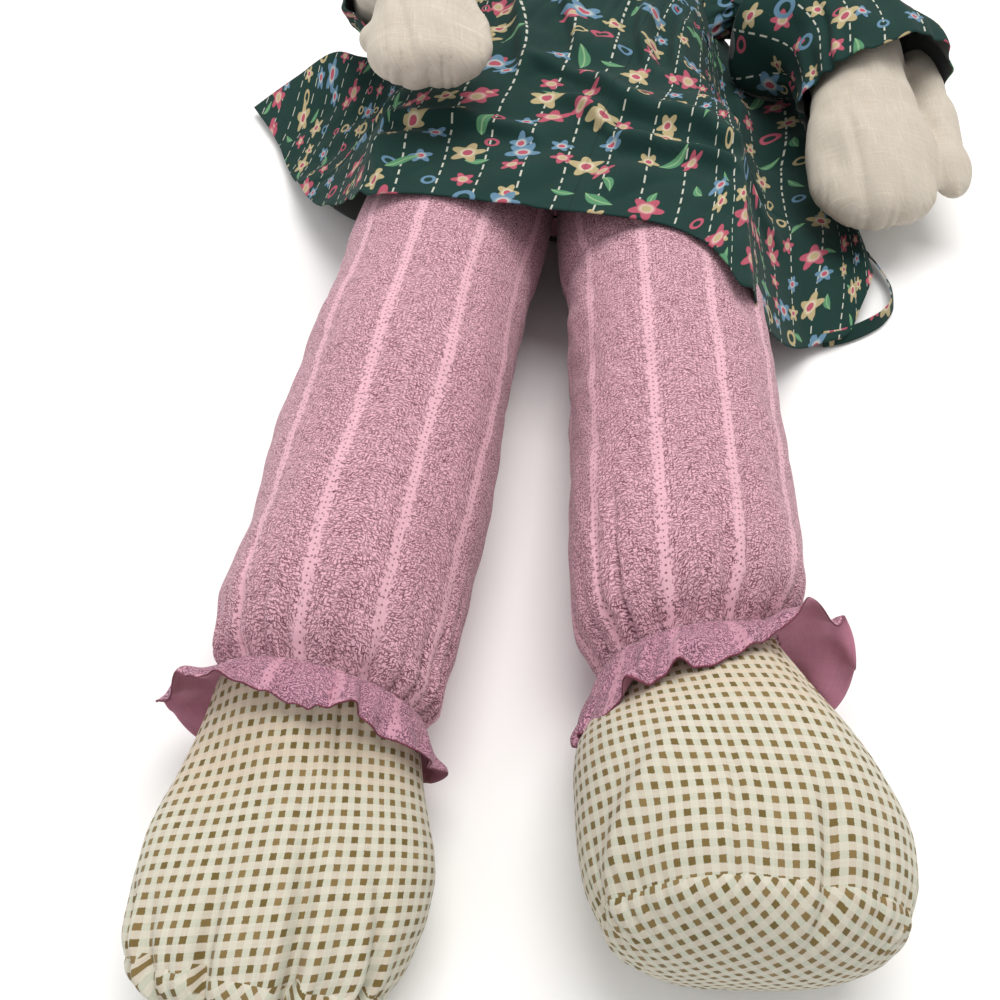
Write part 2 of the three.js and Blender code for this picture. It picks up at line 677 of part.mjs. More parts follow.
// Flat strip that carries the arm: its inner end is round, and the arm's slanted end clears the other
function shoulderTab(side, path) {
  const half = SHOULDER_TAB_WIDTH / 2;
  const along = path.getTangentAt(0);
  const end = SHOULDER_TAB_LENGTH - FIT - half * Math.hypot(along.y, along.z);
  const shape = new THREE.Shape();
  shape.moveTo(end, -half);
  shape.lineTo(end, half);
  shape.lineTo(0, half);
  shape.absarc(0, 0, half, Math.PI / 2, (3 * Math.PI) / 2, false);
  shape.closePath();
  const flat = new THREE.ExtrudeGeometry(shape, { depth: 2 * CLOTH, bevelEnabled: false, curveSegments: 6 });
  flat.translate(0, 0, bodyCentre - CLOTH);
  return piece(`${side}_shoulder_tab`, flat, MUSLIN);
}

function armSet(side, turn, bow, heights) {
  const set = new THREE.Group();
  const path = armPath(bow, heights);
  set.add(shoulderTab(side, path), arm(side, path));
  set.rotation.z = radians(turn);
  return set;
}

// The right arm is the left one's mirror image: its vertices are mirrored, then turned face out again
function mirrored(set) {
  set.updateMatrixWorld(true);
  const group = new THREE.Group();
  set.traverse((node) => {
    if (!node.isMesh) return;
    const shape = node.geometry.clone().applyMatrix4(node.matrixWorld);
    shape.scale(-1, 1, 1);
    const bare = shape.getIndex() ? shape : mergeVertices(shape);
    const corners = [...bare.getIndex().array].reverse();
    bare.setIndex(corners);
    bare.computeVertexNormals();
    const mesh = new THREE.Mesh(bare, node.material);
    mesh.name = node.name;
    group.add(mesh);
  });
  return group;
}

// Dress yoke over the shoulders, open one step of the arc at each armhole
function yoke() {
  const group = new THREE.Group();
  const rows = torsoRows().filter(([place]) => place >= yokeY && place < neckSeam - NECKLINE_DROP);
  for (const [name, side] of [['yoke_front', 1], ['yoke_back', -1]]) {
    const layer = (outset, floor) => rows.map((row) => arc(row, -outset, floor + outset, side).slice(1, -1));
    group.add(piece(name, panel(layer(FIT + CLOTH, 0), layer(FIT, CLOTH)), GREEN_PRINT));
  }
  return group;
}

// Skirt: one gathered tube, front layer over the body and legs, back layer on the floor
function skirt() {
  const rows = torsoRows();
  const loops = (depth) => Array.from({ length: SKIRT_ROWS + 1 }, (_, k) => {
    const fall = k / SKIRT_ROWS;
    const front = Array.from({ length: SKIRT_FRONT_STEPS + 1 }, (__, i) => (
      skirtFront(rows, (2 * i) / SKIRT_FRONT_STEPS - 1, fall, depth)
    ));
    const back = Array.from({ length: SKIRT_BACK_STEPS + 1 }, (__, i) => {
      const x = THREE.MathUtils.lerp(front[SKIRT_FRONT_STEPS].x, front[0].x, i / SKIRT_BACK_STEPS);
      const y = skirtY(1 - (2 * i) / SKIRT_BACK_STEPS, fall);
      return new THREE.Vector3(x, y, FIT + depth);
    });
    return [...front, ...back];
  });
  return piece('skirt', tube(loops(0), loops(CLOTH)), GREEN_PRINT);
}

// How far along the body a point of the skirt lies: its corners are swept up towards the yoke
function skirtY(spread, fall) {
  const lift = (spread < 0 ? SKIRT_SWEEP : SKIRT_LIFT) * ease(Math.abs(spread), 0.5, 1);
  return THREE.MathUtils.lerp(yokeY - FIT, hemY + lift, fall);
}

// A point of the skirt's front: spread runs from -1, the doll's right, to 1, fall from yoke to hem
function skirtFront(rows, spread, fall, depth) {
  const side = Math.abs(spread);
  const y = skirtY(spread, fall);
  const hips = y > TORSO_LENGTH * 0.2 ? lookUp(rows, y, 1) : hipHalf;
  const bodyHalf = hips + DRESS_EASE - depth;
  const flare = (spread < 0 ? SKIRT_RIGHT_FLARE : SKIRT_LEFT_FLARE) * fall ** 0.8;
  const fold = SKIRT_FOLD_HEIGHT * fall * (0.5 + 0.5 * Math.cos(Math.PI * SKIRT_FOLDS * spread));
  if (side <= SKIRT_OVER_BODY) {
    const angle = (Math.PI / 2) * (1 - side / SKIRT_OVER_BODY);
    const top = BODY_HEIGHT / 2 + DRESS_EASE + LAP_EASE * fall - depth;
    const x = bodyHalf * Math.cos(angle) ** (2 / SKIRT_CROWN);
    const z = bodyCentre + top * Math.sin(angle) ** (2 / SKIRT_CROWN);
    return new THREE.Vector3(Math.sign(spread) * x, y, z + fold);
  }
  const out = (side - SKIRT_OVER_BODY) / (1 - SKIRT_OVER_BODY);
  const z = THREE.MathUtils.lerp(bodyCentre, SKIRT_EDGE_HEIGHT, 1 - (1 - out) ** 2) - depth;
  return new THREE.Vector3(Math.sign(spread) * (bodyHalf + flare * out), y, z + fold);
}

// The whole doll, set with its box's underside centred on the origin
function doll() {
  const body = new THREE.Group();
  body.add(torso(), neck(), head(), yoke(), skirt());
  const upright = { height: UPRIGHT_FOOT_HEIGHT, reach: 0 };
  Object.assign(upright, { lean: UPRIGHT_SOLE_LEAN, sway: UPRIGHT_FOOT_SWAY });
  const flopped = { height: FLOPPED_FOOT_HEIGHT, reach: FLOPPED_FOOT_REACH };
  Object.assign(flopped, { lean: FLOPPED_SOLE_LEAN, sway: FLOPPED_FOOT_SWAY });
  body.add(legSet('left', 1, -LEG_SLACK, upright));
  body.add(legSet('right', -1, LEG_SLACK, flopped));

  const pivotX = lookUp(torsoRows(), shoulderY, 1) + 3 * FIT + SHOULDER_TAB_WIDTH / 2;
  const beside = [bodyCentre, bodyCentre, bodyCentre + 10, bodyCentre + 16, bodyCentre + 12, HAND_HEIGHT];
  const lap = lapHeight + HAND_HEIGHT / 2;
  const over = [bodyCentre, bodyCentre + 3, bodyCentre + 28, lap - 20, lap + 6, lap + 4];
  const leftArm = new THREE.Group();
  leftArm.add(armSet('left', LEFT_ARM_TURN, LEFT_ARM_BOW, beside));
  leftArm.position.set(pivotX, shoulderY, 0);
  const rightArm = mirrored(armSet('right', RIGHT_ARM_TURN, RIGHT_ARM_BOW, over));
  rightArm.position.set(-pivotX, shoulderY, 0);
  body.add(leftArm, rightArm);

  body.updateMatrixWorld(true);
  const box = new THREE.Box3().setFromObject(body, true);
  const middle = box.getCenter(new THREE.Vector3());
  body.position.set(-middle.x, -middle.y, -box.min.z);
  const whole = new THREE.Group();
  whole.add(body);
  return whole;
}

export default doll();
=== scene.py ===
"""A large stuffed rag doll lying on its back: printed legs, gingham feet, muslin arms and a smock dress."""
from __future__ import annotations

import json
import logging
import math
from collections.abc import Callable, Sequence
from dataclasses import dataclass, field
from enum import Enum
from functools import partial, partialmethod

import bpy
import numpy as np
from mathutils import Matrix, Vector


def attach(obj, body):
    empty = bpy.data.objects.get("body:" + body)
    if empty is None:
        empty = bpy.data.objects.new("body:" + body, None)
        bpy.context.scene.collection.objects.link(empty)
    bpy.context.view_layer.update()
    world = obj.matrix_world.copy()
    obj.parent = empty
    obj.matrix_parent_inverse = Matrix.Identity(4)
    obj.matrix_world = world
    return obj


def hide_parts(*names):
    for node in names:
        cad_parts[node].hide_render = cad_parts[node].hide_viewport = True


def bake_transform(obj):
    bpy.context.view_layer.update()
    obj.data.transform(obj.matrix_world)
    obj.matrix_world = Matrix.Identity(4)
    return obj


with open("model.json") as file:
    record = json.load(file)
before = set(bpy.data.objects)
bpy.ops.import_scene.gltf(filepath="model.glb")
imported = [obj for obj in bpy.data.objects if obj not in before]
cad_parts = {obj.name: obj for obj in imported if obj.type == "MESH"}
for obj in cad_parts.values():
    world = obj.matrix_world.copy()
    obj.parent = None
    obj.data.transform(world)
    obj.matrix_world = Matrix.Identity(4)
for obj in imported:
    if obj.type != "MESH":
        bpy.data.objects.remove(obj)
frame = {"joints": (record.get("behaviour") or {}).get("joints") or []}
LOG = logging.getLogger("doll")

MM = 0.001
TAU = 2.0 * math.pi
CLOTH = 0.8  # thickness of the cotton, mm
FLOOR = 0.4  # how far cloth that lies on the floor keeps clear of it, mm
DRESS_ROOM = 2.4  # room left under the legs for the dress, mm

# Places shared by several pieces, mm from the middle of the hip seam, with the floor at 0
BODY_CENTRE = 58.5
LEG_OFFSET = 77.0
LEG_SPLAY = math.radians(3.0)
LEG_SLACK = 17.5
LEG_LENGTH = 378.0
ANKLE_HALF = (53.0, 40.0)
ANKLE_CENTRE = 48.0
SHOULDER = (131.278, 332.0)
YOKE_Y = 259.0
NECK_Y = 366.0
HEAD_START = 384.0
HEAD_LENGTH = 212.0
HEAD_CENTRE = 81.0

Array = np.ndarray
Place = Callable[[Array, Array], Array]
Triple = tuple[float, float, float]
Mesh = bpy.types.Object
Material = bpy.types.Material
Tree = bpy.types.NodeTree
Node = bpy.types.Node
Socket = bpy.types.NodeSocket

UP = np.array([0.0, 0.0, 1.0])


class Side(Enum):
    """Which of the doll's own sides a limb is on."""

    LEFT = 1
    RIGHT = -1

    @property
    def word(self) -> str:
        """The side as the nodes name it."""
        return self.name.lower()

    @property
    def seam_slant(self) -> float:
        """Slope of the ankle seam across the leg."""
        return 0.2 if self is Side.LEFT else -0.1

    @property
    def ankle_at(self) -> float:
        """How far down the leg its ankle seam lies, mm."""
        return 365.0 if self is Side.LEFT else 370.0

    @property
    def aside(self) -> float:
        """How far the leg's middle lies from the line of its joints, mm."""
        return -1.5 if self is Side.LEFT else 3.0

    @property
    def ankle_half(self) -> float:
        """Half the width of the ankle seam, mm."""
        return 46.5 if self is Side.LEFT else 53.0


# Number helpers


def ease(value: Array, low: float, high: float) -> Array:
    """Climb smoothly from 0 to 1.

    Args:
        value: What is measured.
        low: Where the climb starts.
        high: Where it ends.

    Returns:
        0 before low, 1 after high.
    """
    part = np.clip((value - low) / (high - low), 0.0, 1.0)
    return part * part * (3.0 - 2.0 * part)


def bump(value: Array, centre: float, width: float) -> Array:
    """A soft bell of height 1."""
    return np.exp(-(((value - centre) / width) ** 2))


class Curve:
    """A smooth run of values through stations, without overshoot."""

    def __init__(self, places: Sequence[float], values: Sequence[Sequence[float]] | Sequence[float]) -> None:
        """Keep the stations and work out a slope at each.

        Args:
            places: Where the stations are, in climbing order.
            values: One number or one row of numbers for each.
        """
        self.places = np.asarray(places, float)
        rows = np.asarray(values, float)
        self.values = rows.reshape(len(self.places), -1)
        step = np.diff(self.places)[:, None]
        rise = np.diff(self.values, axis=0) / step
        slope = np.zeros_like(self.values)
        slope[0], slope[-1] = rise[0], rise[-1]
        before, after = rise[:-1], rise[1:]
        flat = before * after <= 0.0
        total = np.where(flat, 1.0, before + after)
        slope[1:-1] = np.where(flat, 0.0, 2.0 * before * after / total)
        self.slope = slope

    def __call__(self, at: Array) -> Array:
        """The values at some places, one row each."""
        at = np.clip(np.asarray(at, float), self.places[0], self.places[-1])
        k = np.clip(np.searchsorted(self.places, at) - 1, 0, len(self.places) - 2)
        step = self.places[k + 1] - self.places[k]
        part = ((at - self.places[k]) / step)[:, None]
        step = step[:, None]
        square, cube = part**2, part**3
        return (
            (2 * cube - 3 * square + 1) * self.values[k]
            + (cube - 2 * square + part) * step * self.slope[k]
            + (3 * square - 2 * cube) * self.values[k + 1]
            + (cube - square) * step * self.slope[k + 1]
        )


def through(rows: Sequence[Sequence[float]]) -> Curve:
    """A curve through rows that each start with their place."""
    return Curve([row[0] for row in rows], [row[1:] for row in rows])


def round_limb(u: Array) -> tuple[Array, Array]:
    """Cosine and sine round a limb, from its underside."""
    angle = TAU * u - math.pi / 2
    return np.cos(angle), np.sin(angle)


def circle(u: Array, size: float | Array = 1.0) -> tuple[Array, Array]:
    """A full turn of some size, so that what follows it closes."""
    return np.cos(TAU * u) * size, np.sin(TAU * u) * size


def unit(vectors: Array) -> Array:
    """One vector, or rows of them, brought to length 1."""
    return vectors / np.linalg.norm(vectors, axis=-1, keepdims=True)


def closed(v: Array, share: float) -> Array:
    """1 along a tube and a small share at both its ends, which draws them in."""
    return np.where((v < 0.001) | (v > 0.999), share, 1.0)


def strip(width: float, length: float) -> Place:
    """The flat places of a straight strip of cloth, in metres."""
    return lambda u, v: np.column_stack([u * width, v * length])


def run_along(points: Array) -> Array:
    """How far along a line of points each one lies."""
    return np.append(0.0, np.cumsum(np.linalg.norm(np.diff(points, axis=0), axis=1)))


def bilinear(table: Array, u: Array, v: Array) -> Array:
    """Values of an even table at places from 0 to 1 along both its sides."""
    rows, columns = u * (table.shape[0] - 1), v * (table.shape[1] - 1)
    low_row = np.clip(rows.astype(int), 0, table.shape[0] - 2)
    low_column = np.clip(columns.astype(int), 0, table.shape[1] - 2)
    part_row, part_column = rows - low_row, columns - low_column

    def between(row: Array) -> Array:
        """Values along one row of the table."""
        return table[row, low_column] * (1.0 - part_column) + table[row, low_column + 1] * part_column

    return between(low_row) * (1.0 - part_row) + between(low_row + 1) * part_row


def lengths(place: Place, columns: int, rows: int) -> tuple[Array, Array]:
    """Lengths along a surface from its first column and from its first row, mm, as even tables."""
    u, v = np.meshgrid(np.linspace(0.0, 1.0, columns), np.linspace(0.0, 1.0, rows), indexing="ij")
    net = place(u.ravel(), v.ravel()).reshape(columns, rows, 3)
    across = np.cumsum(np.linalg.norm(np.diff(net, axis=0, prepend=net[:1]), axis=2), axis=0)
    down = np.cumsum(np.linalg.norm(np.diff(net, axis=1, prepend=net[:, :1]), axis=2), axis=1)
    return across, down


def swell(seed: int, *axes: Array, count: int = 7) -> Array:
    """Slow uneven waves between about -1 and 1.

    Args:
        seed: Which pattern.
        axes: Coordinates in wavelengths.
        count: How many waves are added.

    Returns:
        One value for each point.
    """
    rng = np.random.default_rng(seed)
    total = np.zeros_like(axes[0])
    for _ in range(count):
        turn = sum(rng.normal() * TAU * axis for axis in axes)
        total = total + np.sin(turn + rng.uniform(0.0, TAU))
    return total / math.sqrt(count / 2.0)


def puffs(around: Array, count: int, seed: int, sharp: float = 0.6) -> tuple[Array, Array, Array]:
    """Gathers round a seam: rounded puffs with sharp valleys between them.

    Args:
        around: Place round the seam, 0 to 1.
        count: How many puffs.
        seed: Which pattern.
        sharp: Below 1, how sharp the valleys are.

    Returns:
        Puff height 0 to 1, and two random numbers 0 to 1 that belong to each puff.
    """
    rng = np.random.default_rng(seed)
    warp = sum(rng.uniform(-0.3, 0.3) * np.sin(TAU * k * around + rng.uniform(0, TAU)) for k in range(1, 7))
    place = count * around + warp
    height = np.abs(np.sin(math.pi * place)) ** sharp
    cell = np.floor(place).astype(int) % count
    size, reach = rng.uniform(0.0, 1.0, count), rng.uniform(0.0, 1.0, count)
    return height, size[cell], reach[cell]


# Meshes


@dataclass(frozen=True)
class Layout:
    """Where the doll lies in the shared frame."""

    origin: Triple

    @classmethod
    def from_joints(cls, joints: Sequence[dict]) -> Layout:
        """Find the middle of the hip seam from the two hip joints."""
        hips = np.array([j["pos_m"] for j in joints if j["name"].endswith("hip_fold")])
        x, y, z = hips.mean(axis=0)
        return cls((x, y, z - BODY_CENTRE * MM))

    def world(self, points: Array) -> Array:
        """Points in mm from the hip seam, as metres in the frame."""
        return points * MM + np.array(self.origin)

    def spot(self, x: float, y: float, z: float) -> Triple:
        """One point in mm from the hip seam, as metres in the frame."""
        return tuple(float(value) for value in self.world(np.array([x, y, z])))


LAYOUT = Layout.from_joints(frame["joints"])


def select(*objects: Mesh) -> None:
    """Select some objects and no others; the first is the active one."""
    bpy.ops.object.select_all(action="DESELECT")
    for obj in objects:
        obj.select_set(True)
    bpy.context.view_layer.objects.active = objects[0]


def join(first: Mesh, *others: Mesh) -> Mesh:
    """Join other objects to the first."""
    select(first, *others)
    bpy.ops.object.join()
    return first


def editing(obj: Mesh) -> None:
    """Open one object with all of its mesh selected."""
    select(obj)
    bpy.ops.object.mode_set(mode="EDIT")
    bpy.ops.mesh.select_all(action="SELECT")


def done_editing() -> None:
    """Close the object that is open."""
    bpy.ops.object.mode_set(mode="OBJECT")


def apply_modifiers(obj: Mesh) -> None:
    """Apply every modifier on an object."""
    select(obj)
    for modifier in list(obj.modifiers):
        bpy.ops.object.modifier_apply(modifier=modifier.name)


def rows_of(items: bpy.types.bpy_prop_collection, key: str) -> Array:
    """One vector of every point or face of a mesh, a row for each."""
    raw = np.empty(len(items) * 3)
    items.foreach_get(key, raw)
    return raw.reshape(-1, 3)


def points_of(obj: Mesh) -> Array:
    """The mesh's points in mm from the hip seam."""
    return (rows_of(obj.data.vertices, "co") - np.array(LAYOUT.origin)) / MM


def set_points(obj: Mesh, points: Array) -> None:
    """Move the mesh's points, given in mm from the hip seam."""
    obj.data.vertices.foreach_set("co", LAYOUT.world(points).ravel())
    obj.data.update()


def normals_of(obj: Mesh) -> Array:
    """The mesh's point normals."""
    return rows_of(obj.data.vertices, "normal")


def lay_grid(
    name: str, columns: int, rows: int, place: Place, flat: Place | None = None, hem: Place | None = None
) -> Mesh:
    """Lay a grid of cloth on a surface.

    Args:
        name: The piece's name.
        columns: Cells across.
        rows: Cells along.
        place: Gives points in mm from two places 0 to 1 across and along.
        flat: Gives each point's place on the flat cloth, in metres.
        hem: Gives 0 to 1 for how far a point belongs to a finished edge.

    Returns:
        The new object, smooth and with its matching edges joined.
    """
    bpy.ops.object.select_all(action="DESELECT")
    bpy.ops.mesh.primitive_grid_add(x_subdivisions=columns, y_subdivisions=rows, size=1.0)
    obj = bpy.context.object
    obj.name = obj.data.name = name
    mesh = obj.data
    spots = rows_of(mesh.vertices, "co")
    across, along = spots[:, 0] + 0.5, spots[:, 1] + 0.5
    if flat is not None:
        corners = np.empty(len(mesh.loops), dtype=int)
        mesh.loops.foreach_get("vertex_index", corners)
        mesh.uv_layers.active.data.foreach_set("uv", flat(across, along)[corners].ravel())
    if hem is not None:
        mesh.attributes.new("hem", "FLOAT", "POINT").data.foreach_set("value", hem(across, along))
    set_points(obj, place(across, along))
    editing(obj)
    bpy.ops.mesh.remove_doubles(threshold=2e-5)
    bpy.ops.mesh.normals_make_consistent(inside=False)
    done_editing()
    bpy.ops.object.shade_smooth()
    return obj


def thicken(obj: Mesh, thickness: float = CLOTH, lining: int = 0, edge: int = 0) -> None:
    """Give a sheet its thickness.

    Args:
        obj: The sheet.
        thickness: In mm.
        lining: How many slots further its inner side's material is.
        edge: How many slots further its edge's material is.
    """
    solid = obj.modifiers.new("cloth", "SOLIDIFY")
    solid.thickness = thickness * MM
    solid.offset = 0.0
    solid.use_even_offset = False
    solid.material_offset = lining
    solid.material_offset_rim = edge
    apply_modifiers(obj)


def flip(obj: Mesh) -> None:
    """Turn a sheet's faces the other way out."""
    editing(obj)
    bpy.ops.mesh.flip_normals()
    done_editing()


def dress(obj: Mesh, *materials: Material) -> None:
    """Give an object its materials, in slot order."""
    obj.data.materials.clear()
    for material in materials:
        obj.data.materials.append(material)


def limb_frame(side: Side, points: Array) -> Array:
    """Points of a leg in its own frame, set beside the other leg."""
    turn = side.value * LEG_SPLAY
    x, y, z = points.T
    x = x + side.aside
    return np.column_stack([
        side.value * LEG_OFFSET + x * math.cos(turn) - y * math.sin(turn),
        side.value * LEG_SLACK + x * math.sin(turn) + y * math.cos(turn),
        z,
    ])


def limb_spot(side: Side, y: float, z: float) -> Triple:
    """A point on a leg's middle line, as metres in the frame."""
    return LAYOUT.spot(*limb_frame(side, np.array([[0.0, y, z]]))[0])


def on_floor(z: Array, floor: float = FLOOR, soft: float = 5.0) -> Array:
    """Heights pressed flat where they would go under the floor, with a soft corner."""
    over = (z - floor) / soft
    return floor + soft * np.where(over > 20.0, over, np.log1p(np.exp(np.minimum(over, 20.0))))


# Finishes


class Graph:
    """Short ways to add nodes to one tree."""

    def __init__(self, tree: Tree) -> None:
        """Work on one tree."""
        self.tree = tree

    def node(self, kind: str, **settings: object) -> Node:
        """Add a node and set it."""
        made = self.tree.nodes.new(kind)
        for key, value in settings.items():
            setattr(made, key, value)
        return made

    def put(self, socket: Socket, value: object) -> None:
        """Link a socket, or set it where the value is plain."""
        if isinstance(value, Socket):
            self.tree.links.new(value, socket)
        elif isinstance(value, tuple) and len(value) == 3 and socket.type == "RGBA":
            socket.default_value = (*value, 1.0)
        else:
            socket.default_value = value

    def math(self, operation: str, *values: object) -> Socket:
        """One sum."""
        made = self.node("ShaderNodeMath", operation=operation)
        for socket, value in zip(made.inputs, values):
            self.put(socket, value)
        return made.outputs[0]

    add, sub = partialmethod(math, "ADD"), partialmethod(math, "SUBTRACT")
    mul, div = partialmethod(math, "MULTIPLY"), partialmethod(math, "DIVIDE")
    sin, cos = partialmethod(math, "SINE"), partialmethod(math, "COSINE")
    abs, fract = partialmethod(math, "ABSOLUTE"), partialmethod(math, "FRACT")
    over, top = partialmethod(math, "GREATER_THAN"), partialmethod(math, "MAXIMUM")

    def centred(self, value: object) -> Socket:
        """A share from 0 to 1, measured from its middle."""
        return self.sub(value, 0.5)

    def turned(self, x: object, y: object, cos: object, sin: object) -> tuple[Socket, Socket]:
        """A place seen from turned axes."""
        return self.add(self.mul(x, cos), self.mul(y, sin)), self.sub(self.mul(y, cos), self.mul(x, sin))

    def length(self, x: object, y: object) -> Socket:
        """How far a place lies from the middle."""
        return self.math("SQRT", self.add(self.mul(x, x), self.mul(y, y)))

    def choose(self, share: object, a: object, b: object) -> Socket:
        """A number between two."""
        return self.add(self.mul(a, self.sub(1.0, share)), self.mul(b, share))

    def ramp(self, value: object, low: float, high: float, smooth: bool = True) -> Socket:
        """0 at low to 1 at high."""
        made = self.node("ShaderNodeMapRange", interpolation_type="SMOOTHSTEP" if smooth else "LINEAR")
        for socket, part in zip(made.inputs, (value, low, high, 0.0, 1.0)):
            self.put(socket, part)
        return made.outputs[0]

    def mix(self, share: object, a: object, b: object, blend: str = "MIX") -> Socket:
        """A colour between two."""
        made = self.node("ShaderNodeMix", data_type="RGBA", blend_type=blend)
        for socket, value in zip((made.inputs[0], made.inputs[6], made.inputs[7]), (share, a, b)):
            self.put(socket, value)
        return made.outputs[2]

    def split(self, vector: object) -> tuple[Socket, ...]:
        """A vector's three numbers."""
        made = self.node("ShaderNodeSeparateXYZ")
        self.put(made.inputs[0], vector)
        return tuple(made.outputs)

    def join(self, x: object, y: object, z: object = 0.0) -> Socket:
        """Three numbers as a vector."""
        made = self.node("ShaderNodeCombineXYZ")
        for socket, value in zip(made.inputs, (x, y, z)):
            self.put(socket, value)
        return made.outputs[0]

    def moved(self, vector: object, scale: Triple, shift: Triple) -> Socket:
        """A vector, scaled and shifted."""
        made = self.node("ShaderNodeVectorMath", operation="MULTIPLY_ADD")
        for socket, value in zip(made.inputs, (vector, scale, shift)):
            self.put(socket, value)
        return made.outputs[0]

    def uv(self) -> Socket:
        """The place on the flat cloth, in metres."""
        return self.node("ShaderNodeUVMap").outputs[0]

    def noise(self, vector: object, scale: float, detail: float = 2.0) -> Socket:
        """Uneven values from 0 to 1."""
        made = self.node("ShaderNodeTexNoise")
        for key, value in (("Vector", vector), ("Scale", scale), ("Detail", detail), ("Roughness", 0.5)):
            self.put(made.inputs[key], value)
        return made.outputs[0]

    def cells(self, vector: object, randomness: float = 1.0) -> tuple[Socket, Socket]:
        """Scattered cells: the vector from each cell's point, and its random colour."""
        made = self.node("ShaderNodeTexVoronoi", voronoi_dimensions="2D")
        for key, value in (("Vector", vector), ("Scale", 1.0), ("Randomness", randomness)):
            self.put(made.inputs[key], value)
        away = self.node("ShaderNodeVectorMath", operation="SUBTRACT")
        self.put(away.inputs[0], vector)
        self.put(away.inputs[1], made.outputs["Position"])
        return away.outputs[0], made.outputs["Color"]

    def group(self, tree: Tree, **values: object) -> Node:
        """Use a shared node group."""
        made = self.node("ShaderNodeGroup", node_tree=tree)
        for key, value in values.items():
            self.put(made.inputs[key], value)
        return made

    def bump(self, shader: Node, strength: float, distance: float, height: Socket) -> None:
        """Raise a shader's surface by a height."""
        made = self.node("ShaderNodeBump")
        for key, value in (("Strength", strength), ("Distance", distance), ("Height", height)):
            self.put(made.inputs[key], value)
        self.put(shader.inputs["Normal"], made.outputs[0])


def tint(colour: Triple, share: float) -> Triple:
    """A colour made darker or lighter."""
    return tuple(value * share for value in colour)


def shared(name: str, inputs: dict[str, str], outputs: dict[str, str]) -> tuple[Tree, Graph, dict, dict]:
    """Start a node group.

    Args:
        name: The group's name.
        inputs: Socket names and kinds.
        outputs: Socket names and kinds.

    Returns:
        The tree, its graph, its inputs by name and the sockets that its outputs take.
    """
    tree = bpy.data.node_groups.new(name, "ShaderNodeTree")
    for way, sockets in (("INPUT", inputs), ("OUTPUT", outputs)):
        for key, kind in sockets.items():
            tree.interface.new_socket(key, in_out=way, socket_type=kind)
    graph = Graph(tree)
    start, end = graph.node("NodeGroupInput"), graph.node("NodeGroupOutput")
    return tree, graph, {key: start.outputs[key] for key in inputs}, {key: end.inputs[key] for key in outputs}


FLOAT, VECTOR = "NodeSocketFloat", "NodeSocketVector"


def weave_group() -> Tree:
    """Plain weave: threads over and under, uneven in weight."""
    tree, g, given, out = shared("Weave", {"Vector": VECTOR, "Pitch": FLOAT}, {"Height": FLOAT, "Tone": FLOAT})
    x, y, _ = g.split(given["Vector"])
    over = g.mul(*(g.sin(g.mul(g.div(place, given["Pitch"]), math.pi)) for place in (x, y)))
    slubs = ((900.0, 60.0), (60.0, 900.0))  # to the metre across and along, for each set of threads
    thread = g.add(*(g.noise(g.join(g.mul(x, wide), g.mul(y, long)), 1.0, 3.0) for wide, long in slubs))
    g.put(out["Height"], g.add(g.mul(over, 0.5), thread))
    g.put(out["Tone"], g.mul(thread, 0.5))
    return tree


def stroke_group() -> Tree:
    """Short curved strokes, one to a cell, each at its own angle."""
    inputs = {"Vector": VECTOR, "Lean": FLOAT, "Width": FLOAT, "Length": FLOAT}
    tree, g, given, out = shared("Strokes", inputs, {"Mask": FLOAT})
    away, random = g.cells(given["Vector"])
    first, second, third = g.split(random)
    angle = g.add(given["Lean"], g.mul(g.centred(first), 2.1))
    x, y, _ = g.split(away)
    along, across = g.turned(x, y, g.cos(angle), g.sin(angle))
    bow = g.mul(g.centred(second), 1.6)
    across = g.add(across, g.mul(bow, g.mul(along, along)))
    inside = g.sub(g.mul(given["Width"], g.add(0.55, third)), g.abs(across))
    length = g.sub(given["Length"], g.abs(along))
    g.put(out["Mask"], g.mul(g.ramp(inside, -0.03, 0.06), g.ramp(length, -0.06, 0.06)))
    return tree


WEAVE = weave_group()
STROKES = stroke_group()


@dataclass(frozen=True)
class Finish:
    """What every cloth here shares."""

    name: str
    roughness: float = 0.88
    sheen: float = 0.12
    bump: float = 0.25
    pitch: float = 0.00042

    def start(self) -> tuple[Material, Graph, Node]:
        """A new material, its graph and its main shader."""
        material = bpy.data.materials.new(self.name)
        material.use_nodes = True
        shader = material.node_tree.nodes["Principled BSDF"]
        shader.inputs["Roughness"].default_value = self.roughness
        shader.inputs["Sheen Weight"].default_value = self.sheen
        shader.inputs["Sheen Roughness"].default_value = 0.55
        shader.inputs["Specular IOR Level"].default_value = 0.18
        return material, Graph(material.node_tree), shader

    def weave(self, g: Graph, shader: Node, vector: object, colour: object, depth: float = 0.1) -> None:
        """Put the weave over a colour, and join both to the shader."""
        weave = g.group(WEAVE, Vector=vector, Pitch=self.pitch)
        tone = g.ramp(weave.outputs["Tone"], 0.3, 0.7, False)
        darker = g.mix(1.0, colour, (1.0 - depth * 1.6,) * 3, "MULTIPLY")
        g.put(shader.inputs["Base Color"], g.mix(tone, darker, colour))
        g.bump(shader, self.bump, 0.0003, weave.outputs["Height"])


